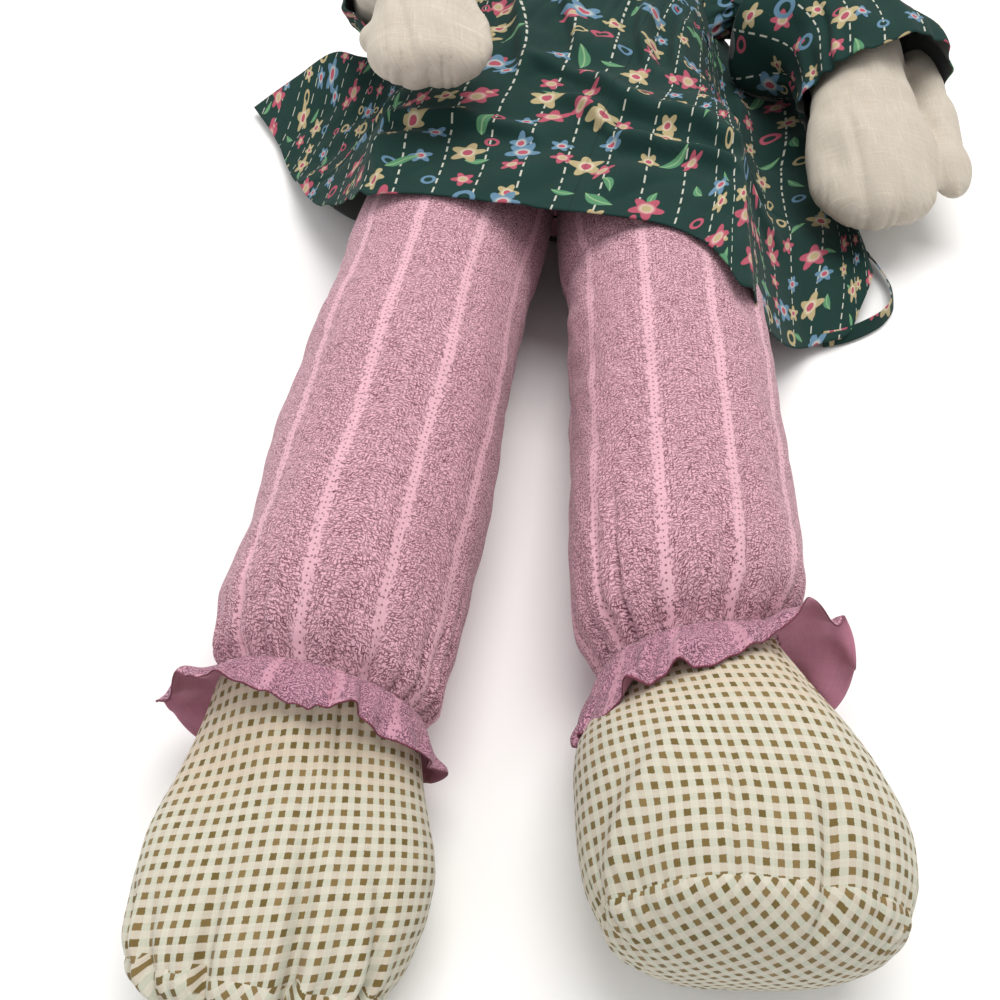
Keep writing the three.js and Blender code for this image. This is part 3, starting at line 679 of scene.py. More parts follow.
@dataclass(frozen=True)
class TwigPrint(Finish):
    """Pink cotton printed with tangled twigs in columns, with a plain dotted stripe between them."""

    ground: Triple = (0.77, 0.45, 0.53)
    ink: Triple = (0.15, 0.050, 0.075)
    hem_thread: Triple = (0.20, 0.05, 0.08)
    column: float = 0.039
    shift: float = 0.0
    dot_step: float = 0.0034
    stitch: float = 0.0016
    # strokes to the metre, their width and their length
    twig_sizes: tuple = ((540.0, 0.13, 0.58), (450.0, 0.115, 0.62), (660.0, 0.135, 0.52))

    def twigs(self, g: Graph, uv: Socket, inside: Socket) -> Socket:
        """Tangled strokes that lean out from the middle of each column."""
        lean = g.sub(g.mul(g.ramp(inside, -0.12, 0.12), 1.2), 0.6)
        ink = 0.0
        for turn, (scale, width, length) in enumerate(self.twig_sizes):
            moved = g.moved(uv, (scale, scale * 1.15, 1.0), (turn * 7.3, turn * 3.1, 0.0))
            strokes = g.group(STROKES, Vector=moved, Lean=lean, Width=width, Length=length)
            ink = g.top(ink, strokes.outputs["Mask"])
        return ink

    def dots(self, g: Graph, y: Socket, away: Socket) -> Socket:
        """The row of dots down each plain stripe."""
        dot_y = g.mul(g.centred(g.fract(g.div(y, self.dot_step))), self.dot_step)
        dot_x = g.mul(g.sub(0.5, away), self.column)
        return g.ramp(g.length(dot_x, dot_y), 0.00062, 0.0004)

    def build(self) -> Material:
        """Make the material."""
        material, g, shader = self.start()
        uv = g.uv()
        x, y, _ = g.split(uv)
        inside = g.centred(g.fract(g.add(g.div(x, self.column), self.shift)))
        away = g.abs(inside)
        frayed = g.mul(g.centred(g.noise(uv, 420.0)), 0.3)
        edge = g.ramp(g.add(away, frayed), 0.45, 0.42)
        ink = g.top(g.mul(self.twigs(g, uv, inside), edge), self.dots(g, y, away))
        worn = g.mul(ink, g.ramp(g.noise(uv, 160.0), 0.1, 0.75))
        ink = g.add(g.mul(ink, 0.62), g.mul(worn, 0.36))
        blush = g.mix(g.noise(uv, 14.0), self.ground, tint(self.ground, 0.94))
        hem = g.node("ShaderNodeAttribute", attribute_name="hem").outputs["Fac"]
        zigzag = g.mul(g.sin(g.mul(x, TAU / self.stitch)), 0.12)
        thread = g.ramp(g.add(hem, zigzag), 0.55, 0.75)
        self.weave(g, shader, uv, g.mix(thread, g.mix(ink, blush, self.ink), self.hem_thread))
        return material


@dataclass(frozen=True)
class PlainCotton(Finish):
    """Cotton with no print, such as the wrong side of a printed one."""

    ground: Triple = (0.52, 0.22, 0.31)

    def build(self) -> Material:
        """Make the material."""
        material, g, shader = self.start()
        uv = g.uv()
        self.weave(g, shader, uv, g.mix(g.noise(uv, 150.0, 3.0), self.ground, tint(self.ground, 0.82)))
        return material


@dataclass(frozen=True)
class Gingham(Finish):
    """Fine cream check with olive squares where its stripes cross, warmer near the ankle."""

    repeat: float = 0.00635
    turn: float = 0.0
    cream: Triple = (0.63, 0.60, 0.50)
    warm: Triple = (0.64, 0.54, 0.42)
    warp: Triple = (0.54, 0.45, 0.355)
    weft: Triple = (0.48, 0.515, 0.41)
    crossing: Triple = (0.15, 0.105, 0.03)
    pale_crossing: Triple = (0.30, 0.20, 0.085)
    warm_until: float = 0.055

    def stripe(self, g: Graph, place: Socket, rough: Socket) -> Socket:
        """The stripes of one set of threads."""
        away = g.abs(g.centred(g.fract(g.div(place, self.repeat))))
        return g.ramp(g.add(away, rough), 0.265, 0.215)

    def build(self) -> Material:
        """Make the material."""
        material, g, shader = self.start()
        uv = g.uv()
        x, y, _ = g.split(uv)
        places = g.turned(x, y, math.cos(self.turn), math.sin(self.turn))
        rough = g.mul(g.centred(g.noise(uv, 900.0)), 0.1)
        warp, weft = (self.stripe(g, place, rough) for place in places)
        near = g.ramp(g.add(y, g.mul(g.noise(uv, 25.0), 0.03)), self.warm_until + 0.03, self.warm_until)
        colour = g.mix(g.mul(warp, 0.5), g.mix(near, self.cream, self.warm), self.warp)
        colour = g.mix(g.mul(weft, 0.55), colour, self.weft)
        chance = g.node("ShaderNodeTexWhiteNoise", noise_dimensions="2D")
        cell = g.join(*(g.math("FLOOR", g.div(place, self.repeat)) for place in places))
        g.put(chance.inputs["Vector"], cell)
        square = g.mix(g.mul(chance.outputs[0], 0.7), self.crossing, self.pale_crossing)
        self.weave(g, shader, uv, g.mix(g.mul(warp, weft), colour, square), 0.08)
        return material


@dataclass(frozen=True)
class GreenPrint(Finish):
    """Dark green cotton scattered with small flowers, leaves and rings, with waving rows of dashes."""

    ground: Triple = (0.007, 0.029, 0.0245)
    sheen: float = 0.03
    pink: Triple = (0.42, 0.085, 0.13)
    cream: Triple = (0.44, 0.36, 0.20)
    blue: Triple = (0.12, 0.23, 0.34)
    pale: Triple = (0.8, 0.75, 0.6)
    leaf: Triple = (0.09, 0.25, 0.13)
    vein: Triple = (0.25, 0.42, 0.22)
    dash: Triple = (0.52, 0.53, 0.46)
    row: float = 0.027
    stitch: float = 0.0105
    scatters: tuple = ((33.0, 3.7), (22.0, 0.0))  # motifs to the metre, shift

    def motif(self, g: Graph, uv: Socket, scale: float, shift: float) -> tuple[Socket, Socket]:
        """One scatter of flowers, leaves and rings.

        Args:
            g: The material's graph.
            uv: The cloth's flat place.
            scale: Motifs to the metre.
            shift: Moves this scatter off the others.

        Returns:
            Their colour and where they are.
        """
        away, random = g.cells(g.moved(uv, (scale, scale, 1.0), (shift, shift * 0.7, 0.0)), 0.55)
        first, second, third = g.split(random)
        x, y, _ = g.split(away)
        spin = g.mul(second, TAU)
        a, b = g.turned(x, y, g.cos(spin), g.sin(spin))
        reach = g.length(a, b)
        petals = g.cos(g.mul(g.math("ARCTAN2", b, a), 5.0))
        flower = g.ramp(g.sub(g.math("MULTIPLY_ADD", petals, 0.06, 0.22), reach), 0.0, 0.025)
        bend = g.mul(g.mul(a, a), 0.8)
        off_vein = g.abs(g.sub(b, bend))
        leaf = g.ramp(g.sub(0.1, g.add(off_vein, g.mul(bend, 1.5))), 0.0, 0.02)
        ring = g.ramp(g.abs(g.sub(reach, 0.13)), 0.045, 0.03)
        is_cream, is_blue = g.over(third, 0.36), g.over(third, 0.70)
        hue = g.mix(is_blue, g.mix(is_cream, self.pink, self.cream), self.blue)
        petal = g.mix(g.ramp(reach, 0.15, 0.07), hue, g.mix(0.55, hue, self.pale))
        petal = g.mix(g.ramp(reach, 0.085, 0.065), petal, g.mix(is_cream, self.cream, self.pink))
        leafy = g.mix(g.ramp(off_vein, 0.018, 0.006), self.leaf, self.vein)
        is_leaf, is_ring = g.over(first, 0.55), g.over(first, 0.78)
        colour = g.mix(is_ring, g.mix(is_leaf, petal, leafy), hue)
        return colour, g.choose(is_ring, g.choose(is_leaf, flower, leaf), ring)

    def build(self) -> Material:
        """Make the material."""
        material, g, shader = self.start()
        uv = g.uv()
        x, y, _ = g.split(uv)
        colour = g.mix(g.noise(uv, 40.0, 3.0), self.ground, tint(self.ground, 1.5))
        wave = g.mul(g.sin(g.div(y, 0.03)), 0.0022)
        near = g.mul(g.abs(g.centred(g.fract(g.div(g.add(x, wave), self.row)))), self.row)
        part = g.abs(g.centred(g.fract(g.div(y, self.stitch))))
        drawn = g.mul(g.ramp(near, 0.00075, 0.0005), g.ramp(part, 0.32, 0.26))
        colour = g.mix(drawn, colour, self.dash)
        for scale, shift in self.scatters:
            hue, mask = self.motif(g, uv, scale, shift)
            colour = g.mix(mask, colour, hue)
        self.weave(g, shader, uv, colour)
        return material


@dataclass(frozen=True)
class Muslin(Finish):
    """Unbleached muslin, flecked, with thick and thin threads."""

    ground: Triple = (0.59, 0.53, 0.45)
    thick: Triple = (0.50, 0.40, 0.27)
    thin: Triple = (0.78, 0.71, 0.58)
    fleck: Triple = (0.30, 0.21, 0.12)

    def build(self) -> Material:
        """Make the material."""
        material, g, shader = self.start()
        place = g.node("ShaderNodeTexCoord").outputs["Object"]
        x, y, z = g.split(place)
        around = g.add(x, g.mul(z, 0.6))
        colour = g.mix(g.noise(place, 30.0, 3.0), self.ground, tint(self.ground, 0.9))
        for wide, long in ((900.0, 45.0), (45.0, 900.0)):
            slub = g.noise(g.join(g.mul(around, wide), g.mul(y, long), g.mul(z, 40.0)), 1.0)
            colour = g.mix(g.mul(g.ramp(slub, 0.6, 0.75), 0.35), colour, self.thick)
            colour = g.mix(g.mul(g.ramp(slub, 0.4, 0.28), 0.3), colour, self.thin)
        fleck = g.ramp(g.noise(place, 700.0, 1.0), 0.72, 0.78)
        self.weave(g, shader, g.join(around, y), g.mix(g.mul(fleck, 0.5), colour, self.fleck))
        return material


@dataclass(frozen=True)
class Yarn(Finish):
    """Wool yarn, twisted and fuzzy, with painted shade in the grooves of its twist and painted light on its
    plies.
    """

    ground: Triple = (0.17, 0.075, 0.032)
    twist: float = 0.0011

    def build(self) -> Material:
        """Make the material."""
        material, g, shader = self.start()
        uv = g.uv()
        x, y, _ = g.split(uv)
        # The colour follows the twist: painted shade in the grooves between the plies and painted light on their
        # crowns, over uneven fuzz.
        twist = g.sin(g.add(g.mul(x, TAU * 2.0), g.div(y, self.twist)))
        tone = g.ramp(g.add(twist, g.noise(uv, 300.0)), -0.6, 1.4)
        g.put(shader.inputs["Base Color"], g.mix(tone, tint(self.ground, 0.45), tint(self.ground, 1.5)))
        g.bump(shader, 0.6, 0.0006, tone)
        return material


def made(finish: Finish) -> Material:
    """A field that holds this finish's material, made with the rest."""
    return field(default_factory=finish.build)


@dataclass
class Cloths:
    """Every finish on the doll, made once."""

    twig_left: Material = made(TwigPrint("twig print left", shift=0.5))
    twig_right: Material = made(TwigPrint("twig print right", shift=0.82))
    frill: Material = made(TwigPrint("frill print", ground=(0.60, 0.31, 0.40), ink=(0.13, 0.05, 0.09)))
    lining: Material = made(PlainCotton("pink wrong side"))
    overlock: Material = made(PlainCotton("overlocked edge", ground=(0.15, 0.035, 0.06)))
    gingham: Material = made(Gingham("gingham"))
    bias: Material = made(Gingham("gingham on the bias", turn=math.radians(45.0), warm_until=-1.0))
    green: Material = made(GreenPrint("green print"))
    green_back: Material = made(PlainCotton("green wrong side", ground=(0.11, 0.12, 0.115)))
    muslin: Material = made(Muslin("muslin"))
    yarn: Material = made(Yarn("yarn"))
    dark_floss: Material = made(PlainCotton("dark floss", ground=(0.03, 0.018, 0.015), roughness=0.6))
    red_floss: Material = made(PlainCotton("red floss", ground=(0.35, 0.07, 0.07), roughness=0.6))

    def twig(self, side: Side) -> Material:
        """The print of one leg."""
        return self.twig_left if side is Side.LEFT else self.twig_right


# Legs and feet


def ankle_span(side: Side) -> tuple[Triple, Triple]:
    """Where cloth round an ankle starts to follow the foot, and where it wholly does."""
    return limb_spot(side, -LEG_LENGTH + 2.0, ANKLE_CENTRE), limb_spot(side, -LEG_LENGTH - 26.0, ANKLE_CENTRE)


@dataclass
class Leg:
    """A stuffed tube of printed cotton, tapered at both ends and gathered at the ankle."""

    side: Side
    seed: int
    breadth: float
    crease_side: float
    columns: int = 220
    rows: int = 220
    # distance down the leg, half width, half height and centre height, mm
    stations: tuple = (
        (104.0, 69.0, 59.6, 58.8),
        (218.0, 68.8, 59.4, 58.4),
        (306.0, 69.0, 59.2, 58.2),
        (338.0, 67.5, 57.0, 57.0),
        (354.0, 64.5, 53.0, 54.6),
        (366.0, 60.0, 47.5, 51.5),
        (373.0, 55.0, 42.0, 48.8),
        (377.6, 51.5, 38.6, 48.0),
    )
    blunt: tuple = (
        (15.0, 20.0, 1.0, 58.5),
        (16.0, 55.0, 8.0, 58.5),
        (20.0, 62.0, 34.0, 58.5),
        (26.0, 66.0, 50.0, 58.5),
        (36.0, 68.0, 56.5, 58.5),
    )
    tapered: tuple = (
        (15.0, 20.0, 1.0, 58.5),
        (16.0, 55.0, 5.0, 58.5),
        (32.0, 63.0, 36.0, 58.5),
        (64.0, 68.0, 56.8, 58.5),
    )
    print_from: float = 64.0
    gather_from: float = 306.0
    puff_count: int = 26
    puff_height: float = 8.0
    pinch: float = 4.0

    def sections(self) -> Curve:
        """Half width, half height and centre height by distance down the leg; the right leg starts full."""
        rows = (self.tapered if self.side is Side.LEFT else self.blunt) + self.stations
        shift = self.side.ankle_at - LEG_LENGTH
        far = [row[0] + shift * (row[0] > 300.0) for row in rows]
        ankle = self.side.ankle_half / ANKLE_HALF[0]
        slim = [self.breadth if 60.0 < row[0] < 360.0 else ankle if row[0] > 360.0 else 1.0 for row in rows]
        return Curve(far, [(wide * part, high, centre) for (_, wide, high, centre), part in zip(rows, slim)])

    @property
    def end(self) -> float:
        """Where the leg ends inside the ankle seam, mm."""
        return self.side.ankle_at - 0.4

    def along(self, v: Array) -> Array:
        """How far down the leg a row lies, mm: rows are closer together at the ankle."""
        low, high = self.blunt[0][0], self.end
        part = v + 0.45 * v * (1.0 - v) * (1.0 - 0.6 * v)
        return low + (high - low) * np.clip(part, 0.0, 1.0)

    def ring(self, u: Array, far: Array) -> tuple[Array, Array, Array, Array]:
        """The plain shape: x, z, and the outward direction there."""
        wide, high, centre = self.sections()(far).T
        cos, sin = round_limb(u)
        out = np.hypot(cos / wide, sin / high)
        return wide * cos, centre + high * sin, cos / wide / out, sin / high / out

    def place(self, u: Array, v: Array) -> Array:
        """The leg's surface, mm."""
        far = self.along(v)
        x, z, out_x, out_z = self.ring(u, far)
        gap = self.end - far
        height, size, reach = puffs(u, self.puff_count, self.seed)
        fade = np.exp(-((gap / (15.0 + 42.0 * reach**2)) ** 1.4))
        lift = self.puff_height * (0.35 + 0.65 * size) * fade * (height - 0.62) * ease(gap, -1.0, 9.0)
        lift -= self.pinch * (1.0 - height) ** 3 * fade * ease(gap, -1.0, 5.0)
        lumps = 1.5 * swell(self.seed + 1, *circle(u, 0.35), far / 210.0) * ease(gap, 0.0, 60.0)
        lumps += 0.5 * swell(self.seed + 2, *circle(u, 1.1), far / 60.0) * ease(gap, 0.0, 50.0)
        crease = -5.0 * bump(u, self.crease_side + 0.0003 * (gap - 20), 0.006 + 0.00006 * gap)
        crease *= np.exp(-(((gap - 14.0) / 26.0) ** 2))
        out = lift + lumps + crease
        side_wave = 0.8 * np.exp(-((gap / 40.0) ** 2)) * np.sin(gap / 6.0 + 9.0 * swell(self.seed + 3, u * 3.0))
        x = x + out * out_x + side_wave * out_z
        z = on_floor(z + out * out_z, FLOOR + DRESS_ROOM * ease(-far, -98.0, -70.0))
        slant = self.side.seam_slant * x * np.exp(-((gap / 60.0) ** 2))
        return limb_frame(self.side, np.column_stack([x, slant - far, z]))

    def flat(self, u: Array, v: Array) -> Array:
        """Where each point lies on the flat cloth.

        Its stripes keep their spacing, and the taper is taken up behind.
        """
        far = self.along(v)
        wide, high, _ = self.sections()(np.clip(far, self.print_from, self.gather_from)).T
        return np.column_stack([TAU * (u - 0.5) * (wide + high) / 2.0, far]) * MM

    def finish(self, cloths: Cloths) -> Mesh:
        """Make the leg, give it its cloth and join it to its body."""
        word = self.side.word
        leg = lay_grid(f"{word}_leg", self.columns, self.rows, self.place, self.flat)
        dress(leg, cloths.twig(self.side))
        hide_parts(f"{word}_leg_casing", f"{word}_leg_stuffing")
        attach(leg, f"{word}_leg")
        return leg


@dataclass
class Foot:
    """A big round stuffed foot: a gathered upper with a dart, and a sole sewn across its end."""

    side: Side
    seed: int
    height: float
    depth: float
    lean: float
    sway: float
    widths: tuple  # shares of the depth and half widths there, mm
    start: float = -3.0
    sole_bulge: float = 19.0
    columns: int = 280
    rows: int = 160
    puff_height: float = 3.0
    sole_puffs: int = 30
    squareness: float = 2.25
    row_slant: float = 0.0
    column_slant: float = 0.0
    folds: tuple = ()  # place round, drift, width, depth in mm, and the shares where each starts and is full

    def sections(self, share: Array) -> Array:
        """Half width, half height and centre height from the ankle to the sole."""
        high = self.height / 2
        centre = high - 1.0
        heights = through((
            (0.0, 36.0, ANKLE_CENTRE),
            (0.05, 39.0, ANKLE_CENTRE),
            (0.2, (40.0 + high) * 0.47, (ANKLE_CENTRE + centre) / 2),
            (0.45, high * 0.955, centre),
            (0.7, high, centre),
            (0.88, high * 0.965, centre),
            (1.0, high * 0.872, centre),
        ))
        return np.column_stack([through(self.widths)(share), heights(share)])

    @staticmethod
    def share_at(v: Array) -> Array:
        """Share of the foot's depth at a row of the upper, whose first and last rows turn in."""
        return np.clip((v - 0.02) / 0.95, 0.0, 1.0)

    def share_below(self, gap: Array) -> Array:
        """Share of the foot's depth at a distance below the ankle seam, mm."""
        return (gap - self.start) / (self.depth - self.start)

    def aside(self, share: Array) -> Array:
        """How far the foot leans aside, mm."""
        return self.sway * ease(share, 0.0, 0.8)

    def surface(self, u: Array, share: Array) -> Array:
        """The upper's surface in the leg's frame, mm."""
        wide, high, centre = self.sections(share).T
        power = 2.0 / self.squareness
        cos, sin = (np.sign(part) * np.abs(part) ** power for part in round_limb(u))
        far = self.side.ankle_at + self.start + (self.depth - self.start) * share
        from_ankle, from_sole = share * self.depth, (1.0 - share) * self.depth
        out_len = np.hypot(cos / wide, sin / high)
        out_x, out_z = cos / wide / out_len, sin / high / out_len
        height, size, reach = puffs(u, 24, self.seed)
        fade = np.exp(-((from_ankle / (16.0 + 30.0 * reach)) ** 1.5))
        lift = 4.2 * (0.3 + 0.7 * size) * (height - 0.62) * fade * ease(from_ankle, -1.0, 8.0)
        height, size, reach = puffs(u, self.sole_puffs, self.seed + 1)
        fade = np.exp(-((from_sole / (7.0 + 26.0 * reach**2)) ** 1.4))
        lift += self.puff_height * (0.15 + 0.85 * size**1.5) * (height - 0.66) * fade
        lift += 1.4 * swell(self.seed + 2, cos * 0.5, sin * 0.5, share * 0.6) * ease(share, 0.1, 0.4)
        for spot, drift, width, depth, start, end in self.folds:
            middle = spot + drift * (1.0 - share)
            cut = bump(u, middle, width) - 0.55 * bump(u, middle + 2.0 * width, 1.6 * width)
            cut -= 0.4 * bump(u, middle - 2.2 * width, 1.6 * width)
            lift -= depth * cut * ease(share, start, end)
        x = wide * cos + lift * out_x
        z = centre + high * sin + lift * out_z
        tilt = (z - centre) * self.lean * ease(share, 0.3, 1.0)
        slant = self.side.seam_slant * x * (1.0 - ease(share, 0.0, 0.5))
        return np.column_stack([x + self.aside(share), tilt - far + slant, on_floor(z)])

    def core(self, share: Array) -> Array:
        """The foot's middle, halfway between its top and its underside, mm."""
        top, underside = (self.surface(np.full_like(share, u), share) for u in (0.5, 0.0))
        return (top + underside) / 2.0

    def place(self, u: Array, v: Array) -> Array:
        """The upper with its hidden ends turned in."""
        points = self.surface(u, self.share_at(v))
        inward = np.clip((0.02 - v) / 0.02, 0.0, 1.0) + np.clip((v - 0.97) / 0.03, 0.0, 1.0)
        axis = self.core(np.where(v < 0.5, 0.0, 1.0))
        return limb_frame(self.side, points + (axis - points) * inward[:, None])

    def flat(self, u: Array, v: Array) -> Array:
        """Where each point lies on the flat check, measured along the cloth from the middle of the ankle."""
        share = self.share_at(v)
        steps = np.linspace(0.0, 1.0, 721)
        girth = run_along(self.surface(steps, np.full_like(steps, 0.7)))
        length = run_along(self.surface(np.full_like(steps, 0.5), steps))
        widest = max(half for _, half in self.widths)
        narrowing = 0.45 + 0.55 * self.sections(share)[:, 0] / widest
        right = (np.interp(0.5, steps, girth) - np.interp(u, steps, girth)) * narrowing
        down = np.interp(share, steps, length)
        across = (self.column_slant * down - right) / math.hypot(1.0, self.column_slant)
        along = (down + self.row_slant * right) / math.hypot(1.0, self.row_slant)
        return np.column_stack([across, along]) * MM

    def sole_place(self, u: Array, v: Array) -> Array:
        """The sole, from its turned-in rim to its middle."""
        r = np.clip(1.0 - (v - 0.04) / 0.92, 0.0, 1.0)
        end = np.ones_like(u)
        core = self.core(end)
        points = core + (self.surface(u, end) - core) * r[:, None]
        dome = self.sole_bulge * (1.0 - r**2.6) ** 0.62
        height, size, reach = puffs(u, self.sole_puffs, self.seed + 1)
        fade = np.exp(-(((1.0 - r) / (0.09 + 0.2 * reach**2)) ** 1.4))
        dome += self.puff_height * 0.8 * (0.2 + 0.8 * size) * (height - 0.6) * fade * ease(1.0 - r, 0.0, 0.05)
        dome += 1.5 * swell(self.seed + 5, points[:, 0] / 90.0, points[:, 2] / 90.0) * ease(1.0 - r, 0.0, 0.3)
        points[:, 1] -= dome + 0.2
        points[:, 1] += np.where(v < 0.04, (0.04 - v) / 0.04 * 6.0, 0.0)
        return limb_frame(self.side, points)

    def sole_flat(self, u: Array, v: Array) -> Array:
        """The sole's own place on its cloth."""
        end = np.ones_like(u)
        spoke = (self.surface(u, end) - self.core(end))[:, [0, 2]]
        down = lengths(self.sole_place, 141, 121)[1]
        return unit(spoke) * bilinear(down[:, -1:] - down, u, v)[:, None] * MM

    def finish(self, cloths: Cloths) -> list[Mesh]:
        """Make the foot and give it its cloth; only the sole is joined to the foot's body."""
        word = self.side.word
        upper = lay_grid(f"{word}_foot_top", self.columns, self.rows, self.place, self.flat)
        dress(upper, cloths.gingham)
        sole = lay_grid(f"{word}_foot_bottom", self.columns, 90, self.sole_place, self.sole_flat)
        thicken(sole)
        dress(sole, cloths.bias)
        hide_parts(f"{word}_foot_upper", f"{word}_foot_stuffing")
        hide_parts(f"{word}_foot_sole")
        above, below = ankle_span(self.side)
        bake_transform(upper)
        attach(sole, f"{word}_foot")
        return [upper, sole]


@dataclass
class AnkleRuffle:
    """A gathered frill sewn into the ankle seam, lying over the foot or standing away from it."""

    foot: Foot
    seed: int
    tilts: tuple  # place round the ankle, lean towards the foot in degrees, width in mm
    pleats: tuple = ()  # place round the ankle, width and depth of each sharp pleat
    columns: int = 460
    rows: int = 30
    waves: int = 9
    margin: float = 3.2

    def curve(self) -> Curve:
        """Lean and width all round the ankle, closed."""
        first = self.tilts[0]
        rows = [*self.tilts, (first[0] + 1.0, *first[1:])]
        rows = [(rows[-2][0] - 1.0, *rows[-2][1:]), *rows, (rows[1][0] + 1.0, *rows[1][1:])]
        return through(rows)

    def clear(self, x: Array, gap: Array, z: Array) -> tuple[Array, Array]:
        """Points moved out of the foot, where they would lie inside it."""
        share = np.clip(self.foot.share_below(gap), 0.0, 1.0)
        wide, high, centre = self.foot.sections(share).T
        aside, power = self.foot.aside(share), self.foot.squareness
        part_x, part_z = (x - aside) / (wide + self.margin), (z - centre) / (high + self.margin)
        ratio = (np.abs(part_x) ** power + np.abs(part_z) ** power) ** (1.0 / power)
        push = np.where(gap > 0.0, np.maximum(1.0, 1.0 / ratio), 1.0)
        return aside + (x - aside) * push, centre + (z - centre) * push

    def place(self, u: Array, v: Array) -> Array:
        """The frill's surface, mm."""
        tilt, width = self.curve()(u).T
        cos, sin = round_limb(u)
        height, size, _ = puffs(u, 34, self.seed, 0.9)
        slow = swell(self.seed + 1, *circle(u, 1.3), count=9)
        fine = np.sin(TAU * self.waves * u + 3.0 * swell(self.seed + 2, *circle(u)))
        crumple = swell(self.seed + 4, *circle(u, 1.8), v * 0.8, count=9)
        lean = tilt + (8.0 * slow + 3.0 * fine * (0.3 + 0.7 * size) + 5.0 * crumple) * (0.3 + 0.7 * v)
        lean = np.radians(lean + 14.0 * v * v)
        reach = width * (v + 0.02 * swell(self.seed + 3, u * 9.0) * v)
        crimp = 1.6 * (height - 0.5) * (0.4 + 0.6 * size) * (1.0 - ease(v, 0.0, 0.7))
        out = reach * np.cos(lean) + crimp
        for spot, wide, depth in self.pleats:
            cut = bump(u, spot, wide) - 0.8 * bump(u, spot + 2.0 * wide, 1.3 * wide)
            out = out - depth * cut * ease(v, 0.0, 0.35)
        gap = reach * np.sin(lean) - 1.5
        side = self.foot.side
        x = (side.ankle_half + 0.5 + out) * cos
        z = ANKLE_CENTRE + (ANKLE_HALF[1] + 0.5 + out) * sin
        x, z = self.clear(x, gap, z)
        y = -side.ankle_at - gap + side.seam_slant * x
        return limb_frame(side, np.column_stack([x, y, on_floor(z, FLOOR + CLOTH, 3.0)]))

    @staticmethod
    def hem(u: Array, v: Array) -> Array:
        """The overlocked outer edge, 0 to 1."""
        return ease(v, 0.945, 0.985)

    def finish(self, cloths: Cloths) -> Mesh:
        """Make the ruffle and give it its cloth."""
        word = self.foot.side.word
        frill = lay_grid(f"{word}_frill", self.columns, self.rows, self.place, strip(0.43, 0.027), self.hem)
        dress(frill, cloths.frill, cloths.lining, cloths.overlock)
        over = points_of(frill)[:, 2] > ANKLE_CENTRE + ANKLE_HALF[1]
        if normals_of(frill)[over, 2].mean() < 0.0:
            flip(frill)
        thicken(frill, 0.7, lining=1, edge=2)
        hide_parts(f"{word}_ankle_ruffle")
        above, below = ankle_span(self.foot.side)
        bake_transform(frill)
        return frill


# Body and head


# distance up the body, half width and half height, mm
TORSO = through((
    (15.0, 60.0, 1.0),
    (16.0, 132.0, 5.0),
    (42.0, 142.0, 38.0),
    (75.0, 145.0, 57.5),
    (108.0, 137.0, 60.0),
    (183.0, 118.0, 59.0),
    (271.0, 121.0, 59.0),
    (332.0, 120.0, 46.4),
    (354.0, 87.0, 32.7),
    (360.0, 33.0, 22.0),
    (361.0, 4.0, 2.0),
))


@dataclass
class Torso:
    """The stuffed body, wholly under the dress; its seat is faced with the legs' cotton."""

    start: float = 15.0
    length: float = 346.0
    seat_to: float = 70.0

    def place(self, u: Array, v: Array) -> Array:
        """The body's surface, mm."""
        y = self.start + self.length * v
        wide, high = TORSO(y).T
        cos, sin = round_limb(u)
        return np.column_stack([wide * cos, y, on_floor(BODY_CENTRE + high * sin, 2.2)])

    def finish(self, cloths: Cloths) -> Mesh:
        """Make the body and give it its cloth."""
        body = lay_grid("torso", 72, 90, self.place)
        dress(body, cloths.muslin, cloths.lining)
        seat = rows_of(body.data.polygons, "center")[:, 1] < LAYOUT.spot(0.0, self.seat_to, 0.0)[1]
        body.data.polygons.foreach_set("material_index", seat.astype(np.int32))
        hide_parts("torso_front_panel", "torso_back_panel", "torso_stuffing")
        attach(body, "torso")
        return body


@dataclass
class HipTab:
    """The soft unstuffed cloth that carries a leg, drawn in at the body."""

    leg: Leg
    top: float = 46.0
    tuck: float = 4.0  # how far its end lies inside the leg, mm
    stations: tuple = ((0.0, 66.0, 36.0), (0.25, 68.5, 52.0), (0.5, 69.0, 57.0), (0.75, 68.4, 57.8))

    @property
    def low(self) -> float:
        """Where the cloth meets the stuffed leg, mm below the hip seam."""
        return -90.0 if self.leg.side is Side.LEFT else -62.0

    def along(self, v: Array) -> Array:
        """How far up the leg's line a row lies, mm."""
        top = self.top - self.leg.side.value * LEG_SLACK
        return top + (self.low - top) * v

    def place(self, u: Array, v: Array) -> Array:
        """The cloth's surface, mm."""
        side = self.leg.side
        wide, high, _ = self.leg.sections()(np.array([-self.low]))[0]
        wide, high = through((*self.stations, (1.0, wide - self.tuck, high - self.tuck)))(v).T
        cos, sin = round_limb(u)
        x = wide * cos - 5.0 * side.value * (1.0 - v)
        z = on_floor(BODY_CENTRE + high * sin, FLOOR + DRESS_ROOM)
        return limb_frame(side, np.column_stack([x, self.along(v), z]))

    def flat(self, u: Array, v: Array) -> Array:
        """Its place on the leg's cloth."""
        wide, high, _ = self.leg.sections()(np.array([self.leg.print_from]))[0]
        return np.column_stack([TAU * (u - 0.5) * (wide + high) / 2.0, -self.along(v)]) * MM

    def finish(self, cloths: Cloths) -> Mesh:
        """Make the cloth and give it the leg's print."""
        side, word = self.leg.side, self.leg.side.word
        tab = lay_grid(f"{word}_hip_strip", 120, 40, self.place, self.flat)
        dress(tab, cloths.twig(side))
        thicken(tab)
        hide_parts(f"{word}_hip_tab")
        low = self.low + side.value * LEG_SLACK
        x = side.value * LEG_OFFSET
        above, below = LAYOUT.spot(x, self.top - 10.0, BODY_CENTRE), LAYOUT.spot(x, low + 6.0, BODY_CENTRE)
        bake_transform(tab)
        return tab


